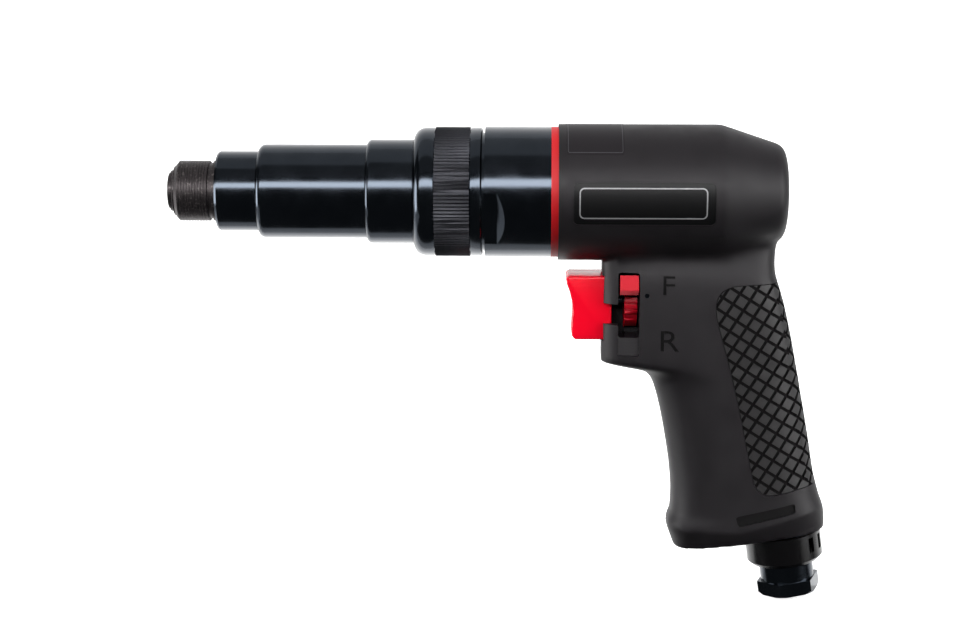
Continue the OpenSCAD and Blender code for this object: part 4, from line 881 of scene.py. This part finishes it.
# The pad's cut border and its grooves get the painted groove shade.
pad_outline = prism_tool("pad_outline", moved_in(GRIP_OUTLINE, 0.25), -40, 40)
combine(studded_pad, pad_outline, "INTERSECT", groove_shade_rubber)
combine(studded_pad, inner_form(PAD_DEEP - 0.02))
for from_behind in (False, True):
    for slant in (-math.pi / 4, math.pi / 4):
        slabs = slab_row(slant, from_behind)
        combine(slabs, inner_form(GROOVE_DEEP))
        combine(studded_pad, slabs, cut_finish=groove_shade_rubber)
crisp(studded_pad, 40)
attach(studded_pad, "housing")
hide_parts("grip_pad")

# %% [markdown]
# The trigger and the lever have the right form in the CAD, but moulded pieces never
# have knife edges. A copy of each is merged into one shell, its flat faces are joined,
# and its sharp edges get a small round, which is what catches the light.

# %% Trigger and reverse lever with round edges
def rounded_copy(node, name, finish, width):
    """A copy of a CAD node with round edges, in millimetres, that stands for the node."""
    shell = bmesh.new()
    shell.from_mesh(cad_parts[node].data)
    bmesh.ops.remove_doubles(shell, verts=shell.verts, dist=0.000002)
    bmesh.ops.dissolve_limit(
        shell, angle_limit=math.radians(1), verts=shell.verts, edges=shell.edges
    )
    sharp = [e for e in shell.edges if e.is_manifold and e.calc_face_angle() > math.radians(50)]
    bmesh.ops.bevel(
        shell, geom=sharp, offset=width * MM, segments=3, profile=0.5, affect="EDGES",
        material=-1, clamp_overlap=True,
    )
    piece = keep_piece(shell, name, finish)
    crisp(piece, 40)
    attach(piece, node)
    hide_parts(node)
    print(name, len(sharp), "edges rounded")


rounded_copy("trigger", "round_trigger", acetal, 0.7)
rounded_copy("reverse_lever", "round_lever", dull_shaded_acetal, 0.3)

# %% [markdown]
# The adjusting ring's knurl is rolled into the steel after turning, and the oxide bath
# leaves the crushed faces of its teeth matte, where the turned faces beside them stay
# glossy. A merged copy of the ring gets a second finish on the faces of the knurl.

# %% Knurled adjusting ring
rolled, tree, shader, place = new_finish("rolled_oxide_steel", "#3a3a3e", 0.5, 0.9)
crush = noise(tree, place, 2800.0, 4.0)
blend_shades(tree, shader, crush, "#26272b", "#434348")
add_bumps(tree, shader, crush, 0.4, 0.00004)

KNURL_FRONT, KNURL_BACK, KNURL_ROOT = 0.0901, 0.1029, 0.0213
ring_shell = bmesh.new()
ring_shell.from_mesh(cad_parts["adjusting_ring"].data)
bmesh.ops.remove_doubles(ring_shell, verts=ring_shell.verts, dist=0.000002)
knurl_faces = [
    f for f in ring_shell.faces
    if KNURL_FRONT < f.calc_center_median().x < KNURL_BACK and abs(f.normal.x) < 0.9
    and min(math.hypot(v.co.y, v.co.z) for v in f.verts) > KNURL_ROOT
]
for face in knurl_faces:
    face.material_index = 1
print("knurl", len(knurl_faces), "faces")
knurled_ring = keep_piece(ring_shell, "knurled_ring", oxide)
knurled_ring.data.materials.append(rolled)
crisp(knurled_ring, 20)
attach(knurled_ring, "adjusting_ring")
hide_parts("adjusting_ring")

# %% [markdown]
# The chuck's sleeve is pulled with two fingers, so it has fine ribs round it. The
# sleeve is turned from one closed outline, with a shallow groove every 0.95 mm.

# %% Ribbed chuck sleeve
sleeve_outline = [(2.6, 8.4), (2.6, 8.9), (3.7, 10.2)]
for k in range(10):
    start = 4.2 + 0.95 * k
    sleeve_outline += [
        (start, 10.2), (start + 0.14, 10.02), (start + 0.3, 10.02), (start + 0.44, 10.2)
    ]
sleeve_outline += [
    (13.75, 10.2), (14.0, 9.95), (14.0, 7.2), (10.5, 7.2), (8.6, 6.05), (7.0, 6.05), (7.0, 8.4)
]
ribbed_sleeve = keep_piece(turned_shell(sleeve_outline, 96), "ribbed_sleeve", phosphate)
crisp(ribbed_sleeve, 30)
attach(ribbed_sleeve, "chuck_sleeve")
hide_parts("chuck_sleeve")

# %% [markdown]
# Labels are stuck to the barrel, one on each side and one over its top. Each is a thin
# film with a printed line round it and is left bare inside. A film is the part of a
# thin tube that lies within the label's outline, so it follows the barrel exactly.

# %% Label film and its printed line
film, tree, shader, place = new_finish("black_vinyl_film", "#070708", 0.4, specular=0.2)
add_bumps(tree, shader, noise(tree, place, 300.0), 0.1, 0.00005)
matte_film, shader = copied_finish(film, "matte_vinyl_film")
shader.inputs["Base Color"].default_value = linear("#161316")
shader.inputs["Roughness"].default_value = 0.5


def printing_ink(name, first, second):
    """A speckled ink between two shades."""
    finish, tree, shader, place = new_finish(name, "#8a8a8c", 0.45, 0.3)
    blend_shades(tree, shader, noise(tree, place, 2500.0), first, second)
    return finish


silver = printing_ink("silver_print", "#77777a", "#9d9d9e")
dim_print = printing_ink("dim_grey_print", "#2c2a2e", "#3d3b40")


def thin_tube(name, inner, outer):
    """A tube round the barrel's axis, in millimetres."""
    shell = turned_shell([(120, inner), (230, inner), (230, outer), (120, outer)], 256)
    return keep_piece(shell, name)


def decal(name, outline, inner, outer, finish, hole=None, on_top=False, far=-30):
    """A film on the barrel within an outline, less a hole, on its side or on its top."""
    piece = prism_tool(name, outline, -5 if far < 0 else 5, far)
    if hole:
        combine(piece, prism_tool("hole", hole, -6 if far < 0 else 4, far * 1.2))
    if on_top:
        piece.data.transform(Matrix.Rotation(-math.pi / 2, 4, "X"))
    combine(piece, thin_tube("film_tube", inner, outer), "INTERSECT")
    piece.data.materials.clear()
    piece.data.materials.append(finish)
    crisp(piece, 40)
    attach(piece, "housing")


for tag, far in (("left", -30), ("right", 30)):
    decal(
        "side_label_" + tag, round_box(136.9, 183.4, -7.8, 6.1, 1.5),
        LABEL_FLOOR + 0.01, LABEL_FLOOR + 0.08, film, far=far,
    )
    decal(
        "side_line_" + tag, round_box(138.7, 180.8, -5.9, 4.5, 1.7),
        LABEL_FLOOR + 0.05, LABEL_FLOOR + 0.11, silver,
        hole=round_box(139.12, 180.38, -5.48, 4.08, 1.3), far=far,
    )
decal(
    "top_label", round_box(134.4, 153.6, -17.6, 17.6, 0.8), BODY_R - 0.12, BODY_R - 0.01,
    matte_film, on_top=True,
)
decal(
    "top_line", round_box(134.9, 153.1, -17.1, 17.1, 0.6), BODY_R - 0.05, BODY_R,
    dim_print, hole=round_box(135.1, 152.9, -16.9, 16.9, 0.4), on_top=True,
)

# %% [markdown]
# The floor and the wall behind are sheets of pale paper that glow a little, so that
# they stay white in the picture as an overexposed studio background does. Three more
# walls close the room for pictures from other sides, without light, reflection or
# shadow of their own.

# %% Floor and walls
paper, tree, shader, place = new_finish("pale_paper", "#f4f4f4", 0.9)
shader.inputs["Emission Color"].default_value = linear("#ffffff")
shader.inputs["Emission Strength"].default_value = 0.8


def sheet_of_paper(name, corners):
    """A flat sheet of the studio's paper between four corners, in metres."""
    shell = bmesh.new()
    shell.faces.new([shell.verts.new(corner) for corner in corners])
    piece = keep_piece(shell, name, paper)
    print("sheet", name)
    return piece


SIDE, FRONT, BACK, TOP = 4, -3, 1.6, 3
low = cad_box[0][2] - 0.0002
floor = sheet_of_paper(
    "studio_floor",
    [(-SIDE, FRONT, low), (SIDE, FRONT, low), (SIDE, BACK, low), (-SIDE, BACK, low)],
)
floor.visible_glossy = False
floor.visible_diffuse = False
for name, (ax, ay), (bx, by) in (
    ("studio_wall", (-SIDE, BACK), (SIDE, BACK)),
    ("left_wall", (-SIDE, FRONT), (-SIDE, BACK)),
    ("right_wall", (SIDE, BACK), (SIDE, FRONT)),
    ("front_wall", (SIDE, FRONT), (-SIDE, FRONT)),
):
    wall = sheet_of_paper(name, [(ax, ay, -TOP), (bx, by, -TOP), (bx, by, TOP), (ax, ay, TOP)])
    if name != "studio_wall":
        wall.visible_glossy = False
        wall.visible_diffuse = False
        wall.visible_shadow = False
